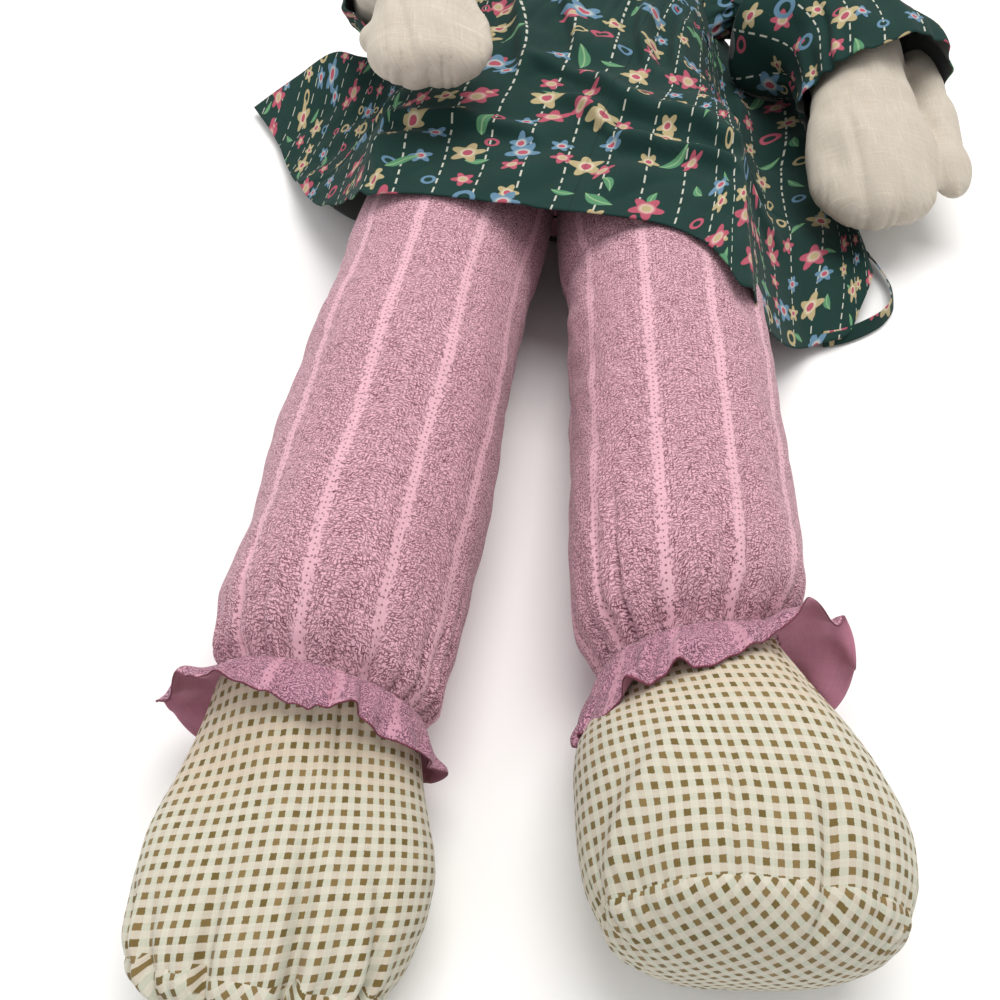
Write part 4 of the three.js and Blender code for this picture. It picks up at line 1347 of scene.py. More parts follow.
@dataclass
class Head:
    """A round stuffed head with a small stitched face, and the neck that carries it."""

    # share of the head's length, half width, half height and centre height, mm
    stations: tuple = (
        (0.0, 4.0, 3.0, 58.5),
        (0.004, 33.0, 22.0, 58.5),
        (0.08, 60.7, 44.0, 77.0),
        (0.24, 85.6, 63.9, 81.0),
        (0.46, 92.0, 71.0, 81.0),
        (0.7, 86.5, 67.5, 81.0),
        (0.9, 60.7, 48.3, 81.0),
        (0.97, 35.0, 28.0, 81.0),
        (1.0, 1.0, 1.0, 81.0),
    )
    eye_spread: float = 31.0
    eye_level: float = 0.56
    mouth_level: float = 0.3

    def curve(self) -> Curve:
        """Half width, half height and centre along the head."""
        return through(self.stations)

    def place(self, u: Array, v: Array) -> Array:
        """The head's surface, mm."""
        part = v - 0.9 * np.sin(TAU * v) / TAU
        wide, high, centre = self.curve()(part).T
        cos, sin = round_limb(u)
        return np.column_stack([wide * cos, HEAD_START + HEAD_LENGTH * part, centre + high * sin])

    def on_face(self, x: Array, part: Array) -> Array:
        """Points on the face, mm."""
        wide, high, centre = self.curve()(part).T
        z = centre + high * np.sqrt(1.0 - (x / wide) ** 2)
        return np.column_stack([x, HEAD_START + HEAD_LENGTH * part, z])

    def eye(self, name: str, x: float) -> Mesh:
        """A small round satin-stitched eye, sunk a little into the face."""
        middle = self.on_face(np.array([x]), np.array([self.eye_level]))[0] - 0.6 * UP

        def place(u: Array, v: Array) -> Array:
            """The eye's surface, mm."""
            r, height = np.sin(v * math.pi), 1.8 * np.cos(v * math.pi)
            cos, sin = circle(u, r)
            stitches = 0.25 * r * np.cos(TAU * u * 20)
            return middle + np.column_stack([6.2 * cos, 8.0 * sin, height + stitches])

        return lay_grid(name, 60, 16, place, strip(0.03, 0.01))

    def mouth(self) -> Mesh:
        """A little stem-stitched smile."""

        def place(u: Array, v: Array) -> Array:
            """The smile's surface, mm."""
            way = 2.0 * v - 1.0
            points = self.on_face(17.0 * way, self.mouth_level + 0.035 * way**2)
            thick = 1.3 * np.sqrt(np.clip(1.0 - way**8, 0.0, 1.0)) * (1.0 + 0.12 * np.sin(v * 90.0))
            points[:, 1:] += np.column_stack(circle(u, thick))
            return points

        return lay_grid("mouth", 12, 60, place, strip(0.01, 0.04))

    def neck_place(self, u: Array, v: Array) -> Array:
        """The neck's surface, mm."""
        cos, sin = round_limb(u)
        slim = (1.0 - 0.06 * np.sin(math.pi * v)) * closed(v, 0.1)
        return np.column_stack([31.5 * slim * cos, NECK_Y - 10.0 + 34.0 * v, BODY_CENTRE + 20.5 * slim * sin])

    def finish(self, cloths: Cloths) -> list[Mesh]:
        """Make the head, its face and the neck, and join the head and its face to the head's body."""
        head = lay_grid("head", 96, 96, self.place)
        dress(head, cloths.muslin)
        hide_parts("head_front_panel", "head_back_panel", "head_stuffing")
        face = [self.eye("left_eye", self.eye_spread), self.eye("right_eye", -self.eye_spread)]
        for eye in face:
            dress(eye, cloths.dark_floss)
        smile = self.mouth()
        dress(smile, cloths.red_floss)
        for piece in (head, *face, smile):
            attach(piece, "head")
        neck = lay_grid("neck", 48, 24, self.neck_place)
        dress(neck, cloths.muslin)
        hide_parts("neck_tube")
        below, above = LAYOUT.spot(0, NECK_Y - 2.0, BODY_CENTRE), LAYOUT.spot(0, NECK_Y + 16.0, BODY_CENTRE)
        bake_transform(neck)
        return [head, neck, *face, smile]


@dataclass
class Hair:
    """Yarn laid from a parting down both sides and round the back, with a coil over the crown."""

    head: Head
    strands: int = 118
    thickness: float = 3.4
    turns: float = 7.0
    crown: tuple[float, float] = (38.0, 31.0)  # half width and half height of the coil, mm
    seed: int = 61

    def strand(self, k: int, v: Array) -> Array:
        """The middle line of one strand, mm."""
        rng = np.random.default_rng(self.seed + k)
        share = (k + 0.5) / self.strands
        sign = 1.0 if k % 2 else -1.0
        start = 0.975
        level = 0.16 + 0.8 * share
        part = start + (level - start) * ease(v, -0.1, 0.9)
        low = 78.0 * (1.0 - ease(np.array([level]), 0.2, 0.96)[0]) + 6.0
        first, face, last = (math.pi / 2 + sign * math.radians(turn) for turn in (5.0, low + 14.0, 178.0))
        angle = first + (face - first) * ease(v, 0.0, 0.35) + (last - face) * ease(v, 0.3, 1.0)
        wide, high, centre = self.head.curve()(part).T
        lift = self.thickness * (0.9 + 0.5 * rng.uniform()) + 1.2 * np.sin(v * 9.0 + rng.uniform(0, TAU))
        x = (wide + lift) * np.cos(angle)
        z = centre + (high + lift) * np.sin(angle)
        y = HEAD_START + HEAD_LENGTH * part + lift * ease(part, 0.8, 1.0)
        return np.column_stack([x, y, z])

    def coil(self, v: Array) -> Array:
        """The middle line of the coil over the crown, mm."""
        share = 1.0 - v
        cos, sin = circle(self.turns * v, share)
        y = HEAD_START + HEAD_LENGTH * (1.0 - 0.035 * share**2) + 0.6 * self.thickness
        return np.column_stack([self.crown[0] * cos, y, HEAD_CENTRE + self.crown[1] * sin])

    def yarn(self, name: str, line: Callable[[Array], Array], rows: int, length: float) -> Mesh:
        """One length of yarn along a line."""
        inside = np.array([0.0, HEAD_START + 0.45 * HEAD_LENGTH, HEAD_CENTRE])

        def place(u: Array, v: Array) -> Array:
            """The yarn's surface, mm."""
            middle = line(v)
            ahead = unit(line(v + 0.18 / rows) - middle)
            across = unit(np.cross(ahead, middle - inside))
            radius = self.thickness * (0.92 + 0.08 * np.sin(v * 70.0)) * closed(v, 0.05)
            cos, sin = circle(u, radius)
            return middle + across * cos[:, None] + np.cross(across, ahead) * sin[:, None]

        return lay_grid(name, 8, rows, place, strip(1.0, length))

    def finish(self, cloths: Cloths) -> Mesh:
        """Make the hair and give it its yarn."""
        made = [self.yarn(f"strand_{k}", partial(self.strand, k), 44, 0.3) for k in range(self.strands)]
        made.append(self.yarn("crown", self.coil, 260, 0.8))
        hair = join(*made)
        hair.name = hair.data.name = "hair_yarn"
        dress(hair, cloths.yarn)
        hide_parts("hair")
        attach(hair, "head")
        return hair


# Arms


@dataclass
class Arm:
    """A stuffed muslin arm that ends in a mitten hand with a thumb."""

    side: Side
    seed: int
    turn: float
    bow: float
    heights: tuple
    thumb: tuple  # shares of the arm at its root and tip, distance from the hand's middle at both, radius
    reach: float = 300.0
    wrist_in: float = 0.0  # how far the wrist bends towards the body, mm
    # share of the arm's length, half width and half height, mm
    rows: tuple = (
        (0.0, 2.0, 1.0),
        (0.004, 13.0, 5.0),
        (0.1, 32.0, 28.8),
        (0.24, 40.0, 38.0),
        (0.46, 38.4, 36.8),
        (0.6, 39.0, 31.0),
        (0.7, 46.0, 27.0),
        (0.8, 50.0, 25.0),
        (0.9, 50.0, 22.5),
        (0.96, 41.0, 17.5),
        (0.99, 24.0, 10.0),
        (1.0, 2.0, 1.0),
    )

    def path(self, share: Array) -> tuple[Array, Array]:
        """The arm's middle line by share of its length, and its direction, in the arm's own frame."""
        out, reach = 30.0, self.reach
        places = np.array([
            (out, 0.0),
            (out + 15.0, -14.0),
            (out + 28.0, -0.16 * reach),
            (out + 36.0, -0.36 * reach),
            (out + 34.0, -0.62 * reach),
            (out + 30.0, -reach),
        ])
        bows = self.bow * np.sin(math.pi * np.arange(6) / 5.0)
        bends = self.wrist_in * np.array([0.0, 0.4, 0.8, 1.0, 1.0, 0.0])
        points = np.column_stack([places[:, 0] + bows - bends, places[:, 1], self.heights])
        run = run_along(points)
        curve = Curve(run / run[-1], points)
        share = np.clip(share, 0.0, 1.0)
        step = 0.004
        return curve(share), unit(curve(np.clip(share + step, 0, 1)) - curve(np.clip(share - step, 0, 1)))

    def frames(self, share: Array) -> tuple[Array, Array, Array]:
        """Middle, across and up directions along the arm."""
        middle, ahead = self.path(share)
        across = unit(np.cross(ahead, UP))
        return middle, across, np.cross(across, ahead)

    def settle(self, points: Array) -> Array:
        """Points in the arm's own frame, set at the shoulder."""
        turn = math.radians(self.turn)
        x = points[:, 0] * math.cos(turn) - points[:, 1] * math.sin(turn)
        y = points[:, 0] * math.sin(turn) + points[:, 1] * math.cos(turn)
        return np.column_stack([self.side.value * (x + SHOULDER[0]), y + SHOULDER[1], points[:, 2]])

    def around(self, u: Array, share: Array, wide: Array, high: Array) -> Array:
        """Points round the arm, set at the shoulder."""
        middle, across, up = self.frames(share)
        cos, sin = round_limb(u)
        points = middle + across * (wide * cos)[:, None] + up * (high * sin)[:, None]
        points[:, 2] = on_floor(points[:, 2])
        return self.settle(points)

    def size(self, share: Array) -> tuple[Array, Array]:
        """Half width and half height along the arm."""
        wide, high = through(self.rows)(share).T
        return wide, high

    def thumb_place(self, u: Array, v: Array) -> Array:
        """The thumb's surface, mm."""
        root_at, tip_at, root_out, tip_out, thick = self.thumb
        (start, end), _ = self.path(np.array([root_at, tip_at]))
        across = unit(np.cross(UP, unit(end - start)))
        root, tip = start + across * root_out, end + across * tip_out
        axis = unit(tip - root)
        side = unit(np.cross(axis, UP))
        radii = ((0.0, 1.0), (0.02, 11.0), (0.3, thick), (0.75, thick), (0.93, 0.7 * thick), (1.0, 1.0))
        radius = through(radii)(v)[:, 0]
        cos, sin = circle(u, radius)
        up = np.cross(side, axis)
        points = root + np.outer(v, tip - root) + np.outer(cos, side) + np.outer(0.9 * sin, up)
        points[:, 2] = on_floor(points[:, 2])
        return self.settle(points)

    def finish(self, cloths: Cloths) -> Mesh:
        """Make the arm with its hand, and join it to its body."""
        word = self.side.word
        arm = lay_grid(f"{word}_arm", 96, 200, lambda u, v: self.around(u, v, *self.size(v)))
        join(arm, lay_grid("thumb", 48, 48, self.thumb_place))
        remesh = arm.modifiers.new("one skin", "REMESH")
        remesh.mode = "VOXEL"
        remesh.voxel_size = 1.7 * MM
        smooth = arm.modifiers.new("soften", "SMOOTH")
        smooth.factor, smooth.iterations = 0.6, 14
        apply_modifiers(arm)
        self.pucker(arm)
        bpy.ops.object.shade_smooth()
        dress(arm, cloths.muslin)
        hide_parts(f"{word}_arm_casing", f"{word}_arm_stuffing")
        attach(arm, f"{word}_arm")
        return arm

    def pucker(self, arm: Mesh) -> None:
        """Draw the cloth in along the seam at the finger tips and wrinkle it softly."""
        points, normals = points_of(arm), normals_of(arm)
        tip, wrist = self.settle(self.path(np.array([1.0, 0.72]))[0])
        along = unit(tip - wrist)
        side = np.cross(along, UP)
        gap = (tip - points) @ along
        sideways = (points - tip) @ side
        height, size, _ = puffs(np.clip(sideways / 140.0 + 0.5, 0, 1), 13, self.seed)
        lift = 2.6 * (height - 0.7) * (0.25 + 0.75 * size) * np.exp(-((gap / (10.0 + 24.0 * size)) ** 1.5))
        lift += 0.7 * swell(self.seed + 1, *(points / 38.0).T) + 0.9 * swell(self.seed + 2, *(points / 90.0).T)
        crease = bump(sideways, 12.0 + 0.12 * gap, 3.2) - 0.5 * bump(sideways, 18.0 + 0.12 * gap, 5.0)
        lift -= 1.8 * crease * ease(gap, -4.0, 8.0) * ease(-gap, -110.0, -70.0) * (normals[:, 2] > 0)
        points = points + normals * lift[:, None]
        points[:, 2] = np.maximum(points[:, 2], FLOOR)
        set_points(arm, points)


@dataclass
class Sleeve:
    """A loose printed sleeve that flares to its hem, and the cap that joins it to the dress."""

    arm: Arm
    seed: int
    ends: tuple[float, float]  # share of the arm at the hem, at its inner and outer side
    flares: tuple[float, float]  # how far the hem stands off the arm there, mm
    underarm: float = 0.0  # how far the sleeve hangs towards the body, mm
    gusset: float = 1.0  # how far the cap reaches down the body's side
    start: float = 0.02
    ease_by: float = 4.2
    cut: tuple[float, float] = (0.34, 0.19)  # the cloth's flat width and length, m
    cap_ring: tuple[float, float] = (24.0, 20.0)  # half length and half height of the cap's inner end, mm

    def place(self, u: Array, v: Array) -> Array:
        """The sleeve's surface, mm."""
        inner, outer = (0.5 + 0.5 * np.sin(TAU * u)) ** 2, (0.5 - 0.5 * np.sin(TAU * u)) ** 2
        end, hem_flare = (first + (last - first) * outer for first, last in (self.ends, self.flares))
        share = self.start + (end - self.start) * v
        wide, high = self.arm.size(share)
        height, size, reach = puffs(u, 16, self.seed, 0.8)
        flare = 1.6 + self.ease_by * ease(v, 0.0, 0.2) + self.underarm * inner * bump(v, 0.32, 0.26)
        flare += hem_flare * ease(v, 0.35, 1.0)
        wave = TAU * 7 * u + 2.0 * v + 1.5 * swell(self.seed + 1, *circle(u))
        ripple = 2.6 * np.sin(wave) * ease(v, 0.25, 1.0)
        fade = bump(v, 0.0, 0.15 + 0.2 * reach)
        ripple += 2.0 * (height - 0.6) * (0.3 + size) * fade * ease(v, 0.0, 0.05)
        ripple += 1.2 * swell(self.seed + 2, *circle(u), v * 3.0)
        ripple = np.maximum(ripple, -flare * 0.6)
        return self.arm.around(u, share, wide + flare + ripple, high + flare + ripple)

    def cap_place(self, u: Array, v: Array) -> Array:
        """The short gathered cap over the shoulder strip, mm."""
        edge = self.place(u, np.full_like(u, 0.012))
        middle = self.arm.settle(np.array([[-14.0, 0.0, BODY_CENTRE]]))
        cos, sin = round_limb(u)
        across = self.cap_ring[0] * cos * self.arm.side.value
        across = np.where(across < 0.0, self.gusset * across, across)
        ring = middle + np.column_stack([np.zeros_like(u), across, self.cap_ring[1] * sin])
        wave = 1.0 + 0.05 * np.sin(TAU * 12 * u) * np.sin(math.pi * v)
        points = ring + (edge - ring) * v[:, None]
        return middle + (points - middle) * wave[:, None]

    def finish(self, cloths: Cloths) -> list[Mesh]:
        """Make the sleeve and its cap, and join the sleeve to its arm's body."""
        side, word = self.arm.side.value, self.arm.side.word
        sleeve = lay_grid(f"{word}_dress_sleeve", 150, 70, self.place, strip(*self.cut))
        dress(sleeve, cloths.green, cloths.green_back)
        thicken(sleeve, lining=1)
        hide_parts(f"{word}_sleeve")
        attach(sleeve, f"{word}_arm")
        cap = lay_grid(f"{word}_sleeve_cap", 90, 16, self.cap_place, strip(0.13, 0.05))
        dress(cap, cloths.green, cloths.green)
        thicken(cap, lining=1)
        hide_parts(f"{word}_shoulder_tab")
        inner, outer = (LAYOUT.spot(side * x, SHOULDER[1], BODY_CENTRE) for x in (112.0, 146.0))
        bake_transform(cap)
        return [sleeve, cap]


# Dress


class Panel(Enum):
    """The yoke's two panels."""

    FRONT = 1
    BACK = -1


@dataclass
class Yoke:
    """The fitted top of the dress, front and back."""

    panel: Panel
    ease_by: float = 3.0
    rise: float = 92.0

    def place(self, u: Array, v: Array) -> Array:
        """The panel's surface, mm."""
        y = YOKE_Y - 6.0 + self.rise * v
        wide, high = TORSO(np.minimum(y, 352.0)).T
        quarter = math.pi / 2
        angle = quarter + quarter * (1.0 - 2.0 * u)
        neck = 14.0 * bump(u, 0.5, 0.16) * ease(v, 0.4, 1.0)
        x = (wide + self.ease_by) * np.cos(angle)
        z = BODY_CENTRE + self.panel.value * (high + self.ease_by) * np.sin(angle)
        return np.column_stack([x, y - neck, np.maximum(z, FLOOR + 0.6)])

    def finish(self, cloths: Cloths) -> Mesh:
        """Make the panel and join it to the body."""
        word = self.panel.name.lower()
        panel = lay_grid(f"{word}_yoke", 90, 40, self.place, strip(0.30, 0.092))
        dress(panel, cloths.green)
        thicken(panel)
        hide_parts(f"yoke_{word}")
        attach(panel, "torso")
        return panel


@dataclass
class Skirt:
    """The wide gathered skirt, spread on the floor at both sides."""

    seed: int = 41
    side_bow: float = 26.0
    wing_to: float = 225.0
    columns: int = 520
    rows: int = 150
    split_front: float = 0.425
    split_back: float = 0.84
    # place round the hem from the doll's right side, x, y and z, mm
    hem: tuple = (
        (0.00, -289.0, 224.0, 8.0),
        (0.045, -256.0, 173.0, 11.0),
        (0.09, -225.0, 107.0, 20.0),
        (0.13, -198.0, 57.0, 36.0),
        (0.16, -178.0, 28.0, 50.0),
        (0.195, -156.0, 3.0, 72.0),
        (0.23, -135.0, -36.0, 102.0),
        (0.255, -119.0, -50.0, 117.0),
        (0.29, -98.0, -51.0, 121.0),
        (0.37, -36.0, -58.0, 122.0),
        (0.41, 0.0, -62.0, 122.0),
        (0.45, 32.0, -64.0, 122.0),
        (0.49, 68.0, -69.0, 122.0),
        (0.515, 85.0, -75.0, 121.0),
        (0.535, 100.0, -86.0, 120.0),
        (0.555, 113.0, -101.0, 118.0),
        (0.57, 122.0, -120.0, 113.0),
        (0.585, 141.0, -108.0, 92.0),
        (0.60, 159.0, -92.0, 50.0),
        (0.615, 177.0, -74.0, 24.0),
        (0.63, 196.0, -54.0, 10.0),
        (0.66, 224.0, -36.0, 8.0),
        (0.675, 236.0, -8.0, 12.0),
        (0.685, 245.0, 16.0, 16.0),
        (0.695, 249.0, 34.0, 12.0),
        (0.705, 240.0, 44.0, 5.0),
        (0.73, 205.0, 24.0, 2.0),
        (0.75, 180.0, 4.0, 1.5),
        (0.80, 100.0, 34.0, 1.2),
        (0.84, 0.0, 60.0, 1.2),
        (0.88, -70.0, 48.0, 1.2),
        (0.93, -152.0, 66.0, 1.4),
        (0.95, -186.0, 86.0, 1.6),
        (0.975, -234.0, 150.0, 3.0),
        (1.00, -289.0, 224.0, 8.0),
    )
    # start x and y, end x and y, width and height of each fold, mm
    folds: tuple = (
        (-20.0, 118.0, 28.0, 79.0, 10.0, 8.0),
        (28.0, 79.0, 75.0, 49.0, 11.0, 9.5),
        (75.0, 49.0, 120.0, 35.0, 11.0, 9.5),
        (120.0, 35.0, 172.0, 32.0, 10.0, 8.0),
        (1.0, 62.0, 55.0, 14.0, 9.0, 9.0),
        (55.0, 14.0, 118.0, 2.0, 9.0, 9.0),
        (-134.0, 54.0, -25.0, 16.0, 8.0, 8.0),
        (-129.0, 44.0, -118.0, -40.0, 6.0, 6.0),
        (97.0, 236.0, 85.0, 138.0, 9.0, 9.0),
        (156.0, 237.0, 141.0, 108.0, 10.0, 10.0),
        (59.0, 230.0, 62.0, 130.0, 8.0, 8.0),
        (-40.0, 230.0, -36.0, 110.0, 8.0, 7.0),
        (-2.0, 230.0, 4.0, 140.0, 8.0, 7.0),
    )
    # share of the way down and height of the skirt's right edge there, mm
    side_edge: tuple = (
        (0.0, 58.5), (0.12, 44.0), (0.25, 35.0), (0.38, 37.0), (0.5, 42.0), (0.75, 25.0), (1.0, 8.0),
    )
    # x and y along the loose end of hem, mm
    loop: tuple = (
        (236.0, 76.0), (250.0, 68.0), (261.0, 48.0), (266.0, 25.0), (264.0, 4.0),
        (254.0, -16.0), (240.0, -29.0), (220.0, -41.0), (206.0, -46.0),
    )

    def body_top(self, x: Array, y: Array) -> Array:
        """How high the cloth lies over the body and the floor beside it."""
        wide = np.where(y > 75.0, TORSO(y)[:, 0] + 8.0, 150.0)
        high = 65.0 - 2.0 * ease(-y, -100.0, 40.0)
        power = 2.0 + 2.6 * ease(-y, -150.0, 20.0)
        away = np.abs(x)
        knee = 0.86 * wide
        over = np.clip(away / wide, 0.0, 0.86)
        top = BODY_CENTRE + high * (1.0 - over**power) ** (1.0 / power)
        fall = np.where(x < 0.0, 58.0, 34.0)
        tail = np.exp(-np.maximum(away - knee, 0.0) / fall)
        return 3.0 + (top - 3.0) * tail

    def fold_height(self, x: Array, y: Array) -> Array:
        """The skirt's soft folds."""
        total = np.zeros_like(x)
        for ax, ay, bx, by, width, height in self.folds:
            ab = np.array([bx - ax, by - ay])
            length = float(np.hypot(*ab))
            part = ((x - ax) * ab[0] + (y - ay) * ab[1]) / length**2
            side = ((x - ax) * ab[1] - (y - ay) * ab[0]) / length
            side = side + 4.0 * np.sin(part * 4.0 + ax)
            steep = np.where(side > 0.0, 0.5 * width, 1.5 * width)
            shape = bump(side, 0.0, steep) - 0.4 * bump(side, 1.5 * width, 1.1 * width)
            total = total + height * shape * ease(part, -0.25, 0.2) * ease(-part, -1.25, -0.85)
        return total

    def place(self, u: Array, v: Array) -> Array:
        """The skirt's surface, mm."""
        hem = through(self.hem)(u)
        angle = np.where(u < 0.6, math.pi * (1.0 - u / 0.6), -math.pi * (u - 0.6) / 0.4)
        armhole = YOKE_Y + (55.0 * ease(u, 0.5, 0.6) + 78.0 * ease(u, 0.6, 0.66)) * (1.0 - ease(u, 0.7, 0.8))
        wing = ease(u, 0.6, 0.67) * (1.0 - ease(u, 0.71, 0.8))
        waist = 126.0 * np.cos(angle)
        waist = waist + (self.wing_to - waist) * wing
        top = np.column_stack([waist, armhole, BODY_CENTRE + 64.0 * np.sin(angle)])
        flare = np.column_stack([v**0.9, v, v**1.5])
        points = top + (hem - top) * flare
        left = 1.0 - ease(u, 0.0, 0.1) + ease(u, 0.9, 1.0)
        points[:, 1] += self.side_bow * np.sin(math.pi * v) * left
        x, y = points[:, 0], points[:, 1]
        height = self.body_top(x, y)
        pleat, size, reach = puffs(u, 54, self.seed, 0.8)
        gathers = 3.0 * (pleat - 0.4) * (0.4 + 0.6 * size) * np.exp(-((v / (0.1 + 0.3 * reach)) ** 1.3))
        loose = self.fold_height(x, y) * ease(v, 0.02, 0.15)
        loose = loose + 2.2 * swell(self.seed + 1, x / 70.0, y / 90.0) * ease(v, 0.05, 0.4)
        loose = loose + 2.5 * swell(self.seed + 2, u * 14.0, v * 0.6) * ease(v, 0.5, 1.0)
        lying = height + np.maximum(loose + gathers, -3.5 + 2.5 * ease(-y, 0.0, 40.0))
        spread = 1.0 - ease(v, 0.6, 0.97)
        front = 1.0 - ease(u, 0.575, 0.63) * (1.0 - spread) + ease(u, 0.985, 1.0) * (1.0 - spread)
        z = points[:, 2] + (lying - points[:, 2]) * front
        under = ease(u, 0.693, 0.712) * (1.0 - ease(u, 0.985, 1.0))
        z = np.where(u > 0.6, z + (0.9 + 0.9 * v - z) * under, z)
        edge = through(self.side_edge)(v)[:, 0]
        z = z + (edge - z) * (1.0 - ease(u, 0.0, 0.1) + ease(u, 0.984, 1.0))
        points[:, 2] = np.maximum(z, 0.9)
        return points

    def loop_place(self, u: Array, v: Array) -> Array:
        """The loose end of hem that curls round the skirt's corner, mm."""
        curve = Curve(list(np.linspace(0.0, 1.0, len(self.loop))), self.loop)
        spot = curve(u)
        ahead = unit(curve(np.clip(u + 0.01, 0.0, 1.0)) - curve(np.clip(u - 0.01, 0.0, 1.0)))
        inward = np.column_stack([ahead[:, 1], -ahead[:, 0]])
        lean = (6.0 + 2.0 * np.sin(u * 9.0)) * v
        flat = spot + inward * lean[:, None]
        return np.column_stack([flat, 2.0 + (9.0 + 1.5 * np.sin(u * 13.0)) * v])

    def half(self, side: Side, cloths: Cloths) -> Mesh:
        """One half of the skirt."""
        word = side.word
        front, back = self.split_front, self.split_back

        def place(u: Array, v: Array) -> Array:
            """This half's surface, mm."""
            if side is Side.LEFT:
                return self.place(front + (back - front) * u, v)
            return self.place((back + (1.0 + front - back) * u) % 1.0, v)

        across, down = lengths(place, 241, 121)
        hem = across[:, -1] - (across[-1, -1] if side is Side.RIGHT else 0.0)
        share = np.linspace(0.0, 1.0, across.shape[1])
        taper = np.polyval(np.polyfit(share, across[-1] / across[-1, -1], 2), share)
        across = hem[:, None] * taper
        window = np.ones(25) / 25.0

        def smooth(row: Array) -> Array:
            """A row of lengths, evened out over the folds."""
            return np.convolve(np.pad(row, len(window) // 2, mode="edge"), window, mode="valid")

        down = np.apply_along_axis(smooth, 0, down)

        def flat(u: Array, v: Array) -> Array:
            """This half's place on its cloth, m."""
            return np.column_stack([bilinear(table, u, v) for table in (across, down)]) * MM

        piece = lay_grid(f"{word}_skirt", self.columns // 2, self.rows, place, flat)
        dress(piece, cloths.green, cloths.green_back)
        thicken(piece, lining=1)
        if side is Side.LEFT:
            along_grain = strip(0.012, 0.17)
            loop = lay_grid("hem_loop", 90, 8, self.loop_place, lambda u, v: along_grain(v, u))
            dress(loop, cloths.green, cloths.green_back)
            thicken(loop, lining=1)
            join(piece, loop)
        x = side.value * LEG_OFFSET
        above, below = LAYOUT.spot(x, 60.0, BODY_CENTRE), LAYOUT.spot(x, -50.0, BODY_CENTRE)
        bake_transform(piece)
        return piece

    def finish(self, cloths: Cloths) -> list[Mesh]:
        """Make both halves."""
        halves = [self.half(side, cloths) for side in Side]
        for piece in halves:
            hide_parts("skirt")
        return halves


# Studio


@dataclass
class Studio:
    """White floor, soft light and the camera."""

    camera_place: Triple = (19.5, -610.0, 515.0)
    pitch: float = 52.0
    yaw: float = 5.4

    def build(self) -> None:
        """Make the floor, the lamps and the camera."""
        bpy.ops.object.select_all(action="DESELECT")
        bpy.ops.mesh.primitive_plane_add(size=12.0, location=(0.0, 0.0, 0.0))
        floor = bpy.context.object
        floor.name = "floor"
        material = bpy.data.materials.new("floor")
        material.use_nodes = True
        g = Graph(material.node_tree)
        shader = material.node_tree.nodes["Principled BSDF"]
        shader.inputs["Roughness"].default_value = 0.9
        shader.inputs["Specular IOR Level"].default_value = 0.1
        place = g.node("ShaderNodeTexCoord").outputs["Object"]
        g.put(shader.inputs["Base Color"], g.mix(g.noise(place, 3.0), (0.93, 0.93, 0.93), (0.90, 0.90, 0.90)))
        dress(floor, material)
        world = bpy.data.worlds.new("white room")
        bpy.context.scene.world = world
        world.use_nodes = True
        sky = world.node_tree.nodes["Background"]
        sky.inputs["Color"].default_value = (1.0, 0.99, 0.97, 1.0)
        sky.inputs["Strength"].default_value = 0.62
        self.lamp("window", (0.2, 0.6, 2.4), 1.8, 54.0, (1.0, 0.98, 0.95))
        self.lamp("fill", (-1.9, -1.2, 2.0), 2.6, 12.0, (0.95, 0.97, 1.0))
        camera = bpy.data.objects.new("camera", bpy.data.cameras.new("camera"))
        bpy.context.scene.collection.objects.link(camera)
        camera.location = LAYOUT.spot(*self.camera_place)
        camera.rotation_euler = (math.radians(90.0 - self.pitch), 0.0, math.radians(self.yaw))
        camera.data.lens = 36.0
        camera.data.sensor_width = 36.0
        camera.data.clip_start = 0.01
        bpy.context.scene.camera = camera
        bpy.context.scene.view_settings.view_transform = "Standard"

    def lamp(self, name: str, place: Triple, size: float, power: float, colour: Triple) -> None:
        """One soft square lamp that points at the doll."""
        light = bpy.data.lights.new(name, "AREA")
        light.size, light.energy, light.color = size, power, colour
        lamp = bpy.data.objects.new(name, light)
        bpy.context.scene.collection.objects.link(lamp)
        lamp.location = place
        lamp.rotation_euler = (Vector((0.0, -0.2, 0.05)) - Vector(place)).to_track_quat("-Z", "Y").to_euler()


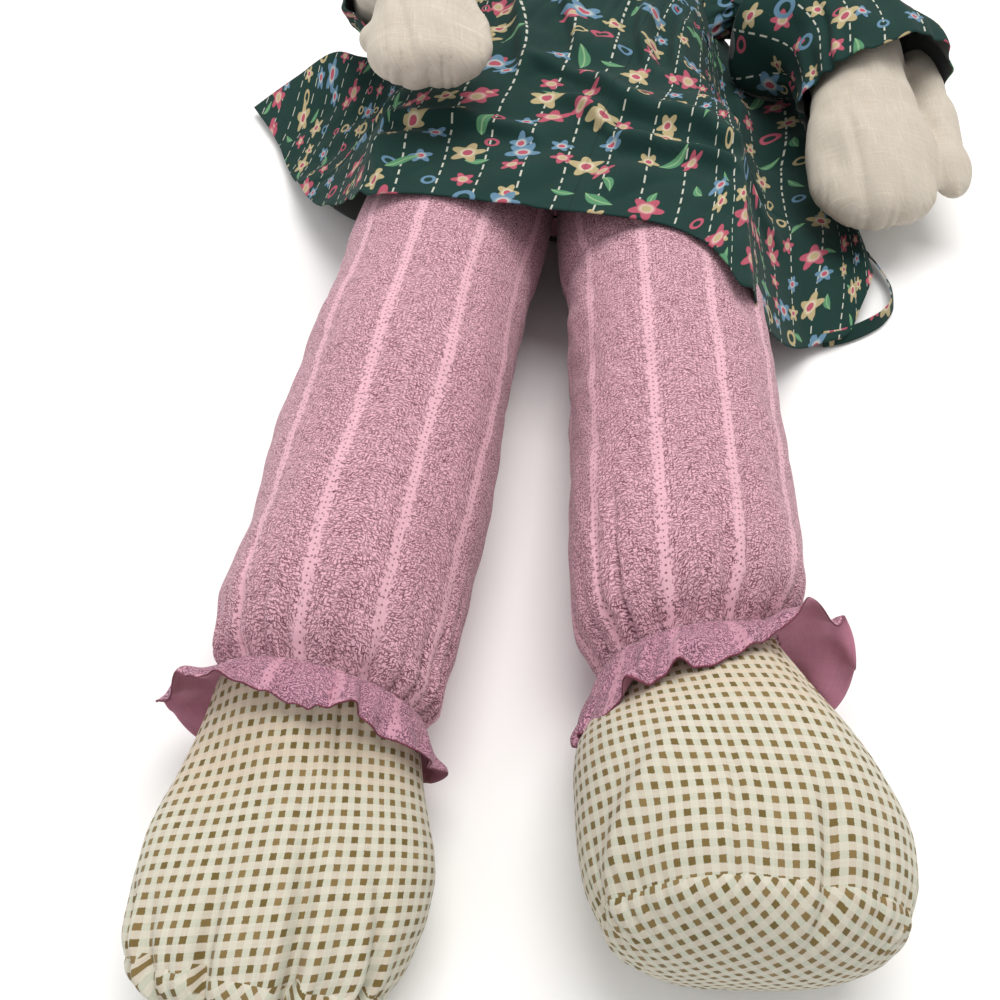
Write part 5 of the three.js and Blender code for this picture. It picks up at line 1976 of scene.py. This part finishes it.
def main() -> None:
    """Build the doll and the studio."""
    logging.basicConfig(level=logging.INFO)
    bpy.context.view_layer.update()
    cloths = Cloths()
    Studio().build()
    LOG.info("legs")
    legs = (
        Leg(Side.LEFT, seed=11, breadth=0.935, crease_side=0.46),
        Leg(Side.RIGHT, seed=23, breadth=0.95, crease_side=0.455),
    )
    for leg in legs:
        leg.finish(cloths)
        HipTab(leg).finish(cloths)
    LOG.info("feet")
    left_foot = Foot(
        Side.LEFT, seed=31, height=111.0, depth=133.0, lean=0.12, sway=16.5,
        widths=(
            (0.0, 43.0), (0.06, 45.5), (0.27, 57.0), (0.4, 65.0),
            (0.53, 70.5), (0.75, 74.0), (0.88, 72.0), (1.0, 65.0),
        ),
        folds=(
            (0.53, -0.03, 0.004, 1.6, 0.45, 0.7),
            (0.45, 0.0, 0.010, 4.5, 0.55, 0.95),
            (0.69, -0.25, 0.02, -3.0, 0.35, 0.7),
        ),
    )
    right_foot = Foot(
        Side.RIGHT, seed=37, height=76.0, depth=127.0, lean=-0.35, sway=4.5, row_slant=0.2, column_slant=0.05,
        widths=(
            (0.0, 50.5), (0.16, 55.0), (0.28, 58.0), (0.4, 62.0), (0.515, 67.0),
            (0.62, 69.5), (0.73, 69.0), (0.835, 66.0), (0.93, 62.0), (1.0, 56.0),
        ),
        folds=(
            (0.45, 0.055, 0.010, 6.5, 0.35, 0.9),
            (0.335, 0.15, 0.010, 5.0, 0.5, 0.95),
            (0.54, 0.0, 0.010, 5.5, 0.6, 0.95),
            (0.62, 0.0, 0.012, 4.5, 0.7, 0.97),
            (0.67, 0.0, 0.014, 4.5, 0.7, 0.97),
        ),
    )
    for foot in (left_foot, right_foot):
        foot.finish(cloths)
    LOG.info("ruffles")
    AnkleRuffle(
        left_foot, seed=51, pleats=((0.575, 0.006, 3.0), (0.40, 0.007, 3.0)),
        tilts=(
            (0.0, 35.0, 14.0), (0.1, 48.0, 38.0), (0.15, 42.0, 46.0), (0.2, 24.0, 47.0), (0.25, 8.0, 42.0),
            (0.31, -12.0, 33.0), (0.36, -28.0, 25.0), (0.41, 20.0, 22.0), (0.46, 55.0, 27.0), (0.53, 60.0, 34.0),
            (0.6, 62.0, 39.0), (0.67, 66.0, 41.0), (0.73, 66.0, 40.0), (0.79, 52.0, 34.0), (0.88, 40.0, 18.0),
        ),
    ).finish(cloths)
    AnkleRuffle(
        right_foot, seed=57, pleats=((0.42, 0.006, 3.0), (0.455, 0.005, 2.5)),
        tilts=(
            (0.0, 35.0, 14.0), (0.15, 50.0, 22.0), (0.25, 58.0, 25.0), (0.3, 60.0, 26.0), (0.38, 62.0, 25.0),
            (0.5, 64.0, 23.0), (0.62, 58.0, 25.0), (0.68, 40.0, 28.0), (0.74, 8.0, 36.0), (0.79, 16.0, 36.0),
            (0.84, 55.0, 30.0), (0.92, 40.0, 18.0),
        ),
    ).finish(cloths)
    LOG.info("body")
    Torso().finish(cloths)
    head = Head()
    head.finish(cloths)
    Hair(head).finish(cloths)
    LOG.info("arms")
    left_arm = Arm(
        Side.LEFT, seed=71, turn=10.7, bow=24.0,
        heights=(58.5, 58.5, 68.5, 74.5, 70.5, 46.0), thumb=(0.4, 0.925, 54.0, 64.0, 17.0),
    )
    right_arm = Arm(
        Side.RIGHT, seed=73, turn=-19.0, bow=-4.0, reach=320.0, wrist_in=16.0,
        heights=(58.5, 61.5, 86.5, 145.0, 171.0, 169.0), thumb=(0.77, 0.9, 22.0, 41.0, 10.0),
        rows=(
            (0.0, 2.0, 1.0), (0.004, 13.0, 5.0), (0.1, 32.0, 28.8), (0.24, 40.0, 38.0), (0.46, 37.0, 36.0),
            (0.6, 34.0, 31.0), (0.7, 33.0, 28.0), (0.78, 36.0, 26.0), (0.86, 41.0, 24.0), (0.92, 42.0, 21.0),
            (0.97, 36.0, 16.0), (0.993, 22.0, 9.0), (1.0, 2.0, 1.0),
        ),
    )
    for arm in (left_arm, right_arm):
        arm.finish(cloths)
    Sleeve(left_arm, seed=81, ends=(0.62, 0.52), flares=(4.0, 30.0), underarm=44.0, gusset=1.8).finish(cloths)
    Sleeve(
        right_arm, seed=83, ends=(0.5, 0.27), flares=(6.0, 4.0), gusset=1.8, ease_by=2.6, cut=(0.28, 0.15)
    ).finish(cloths)
    LOG.info("dress")
    for panel in Panel:
        Yoke(panel).finish(cloths)
    Skirt().finish(cloths)


if __name__ == "__main__":
    main()
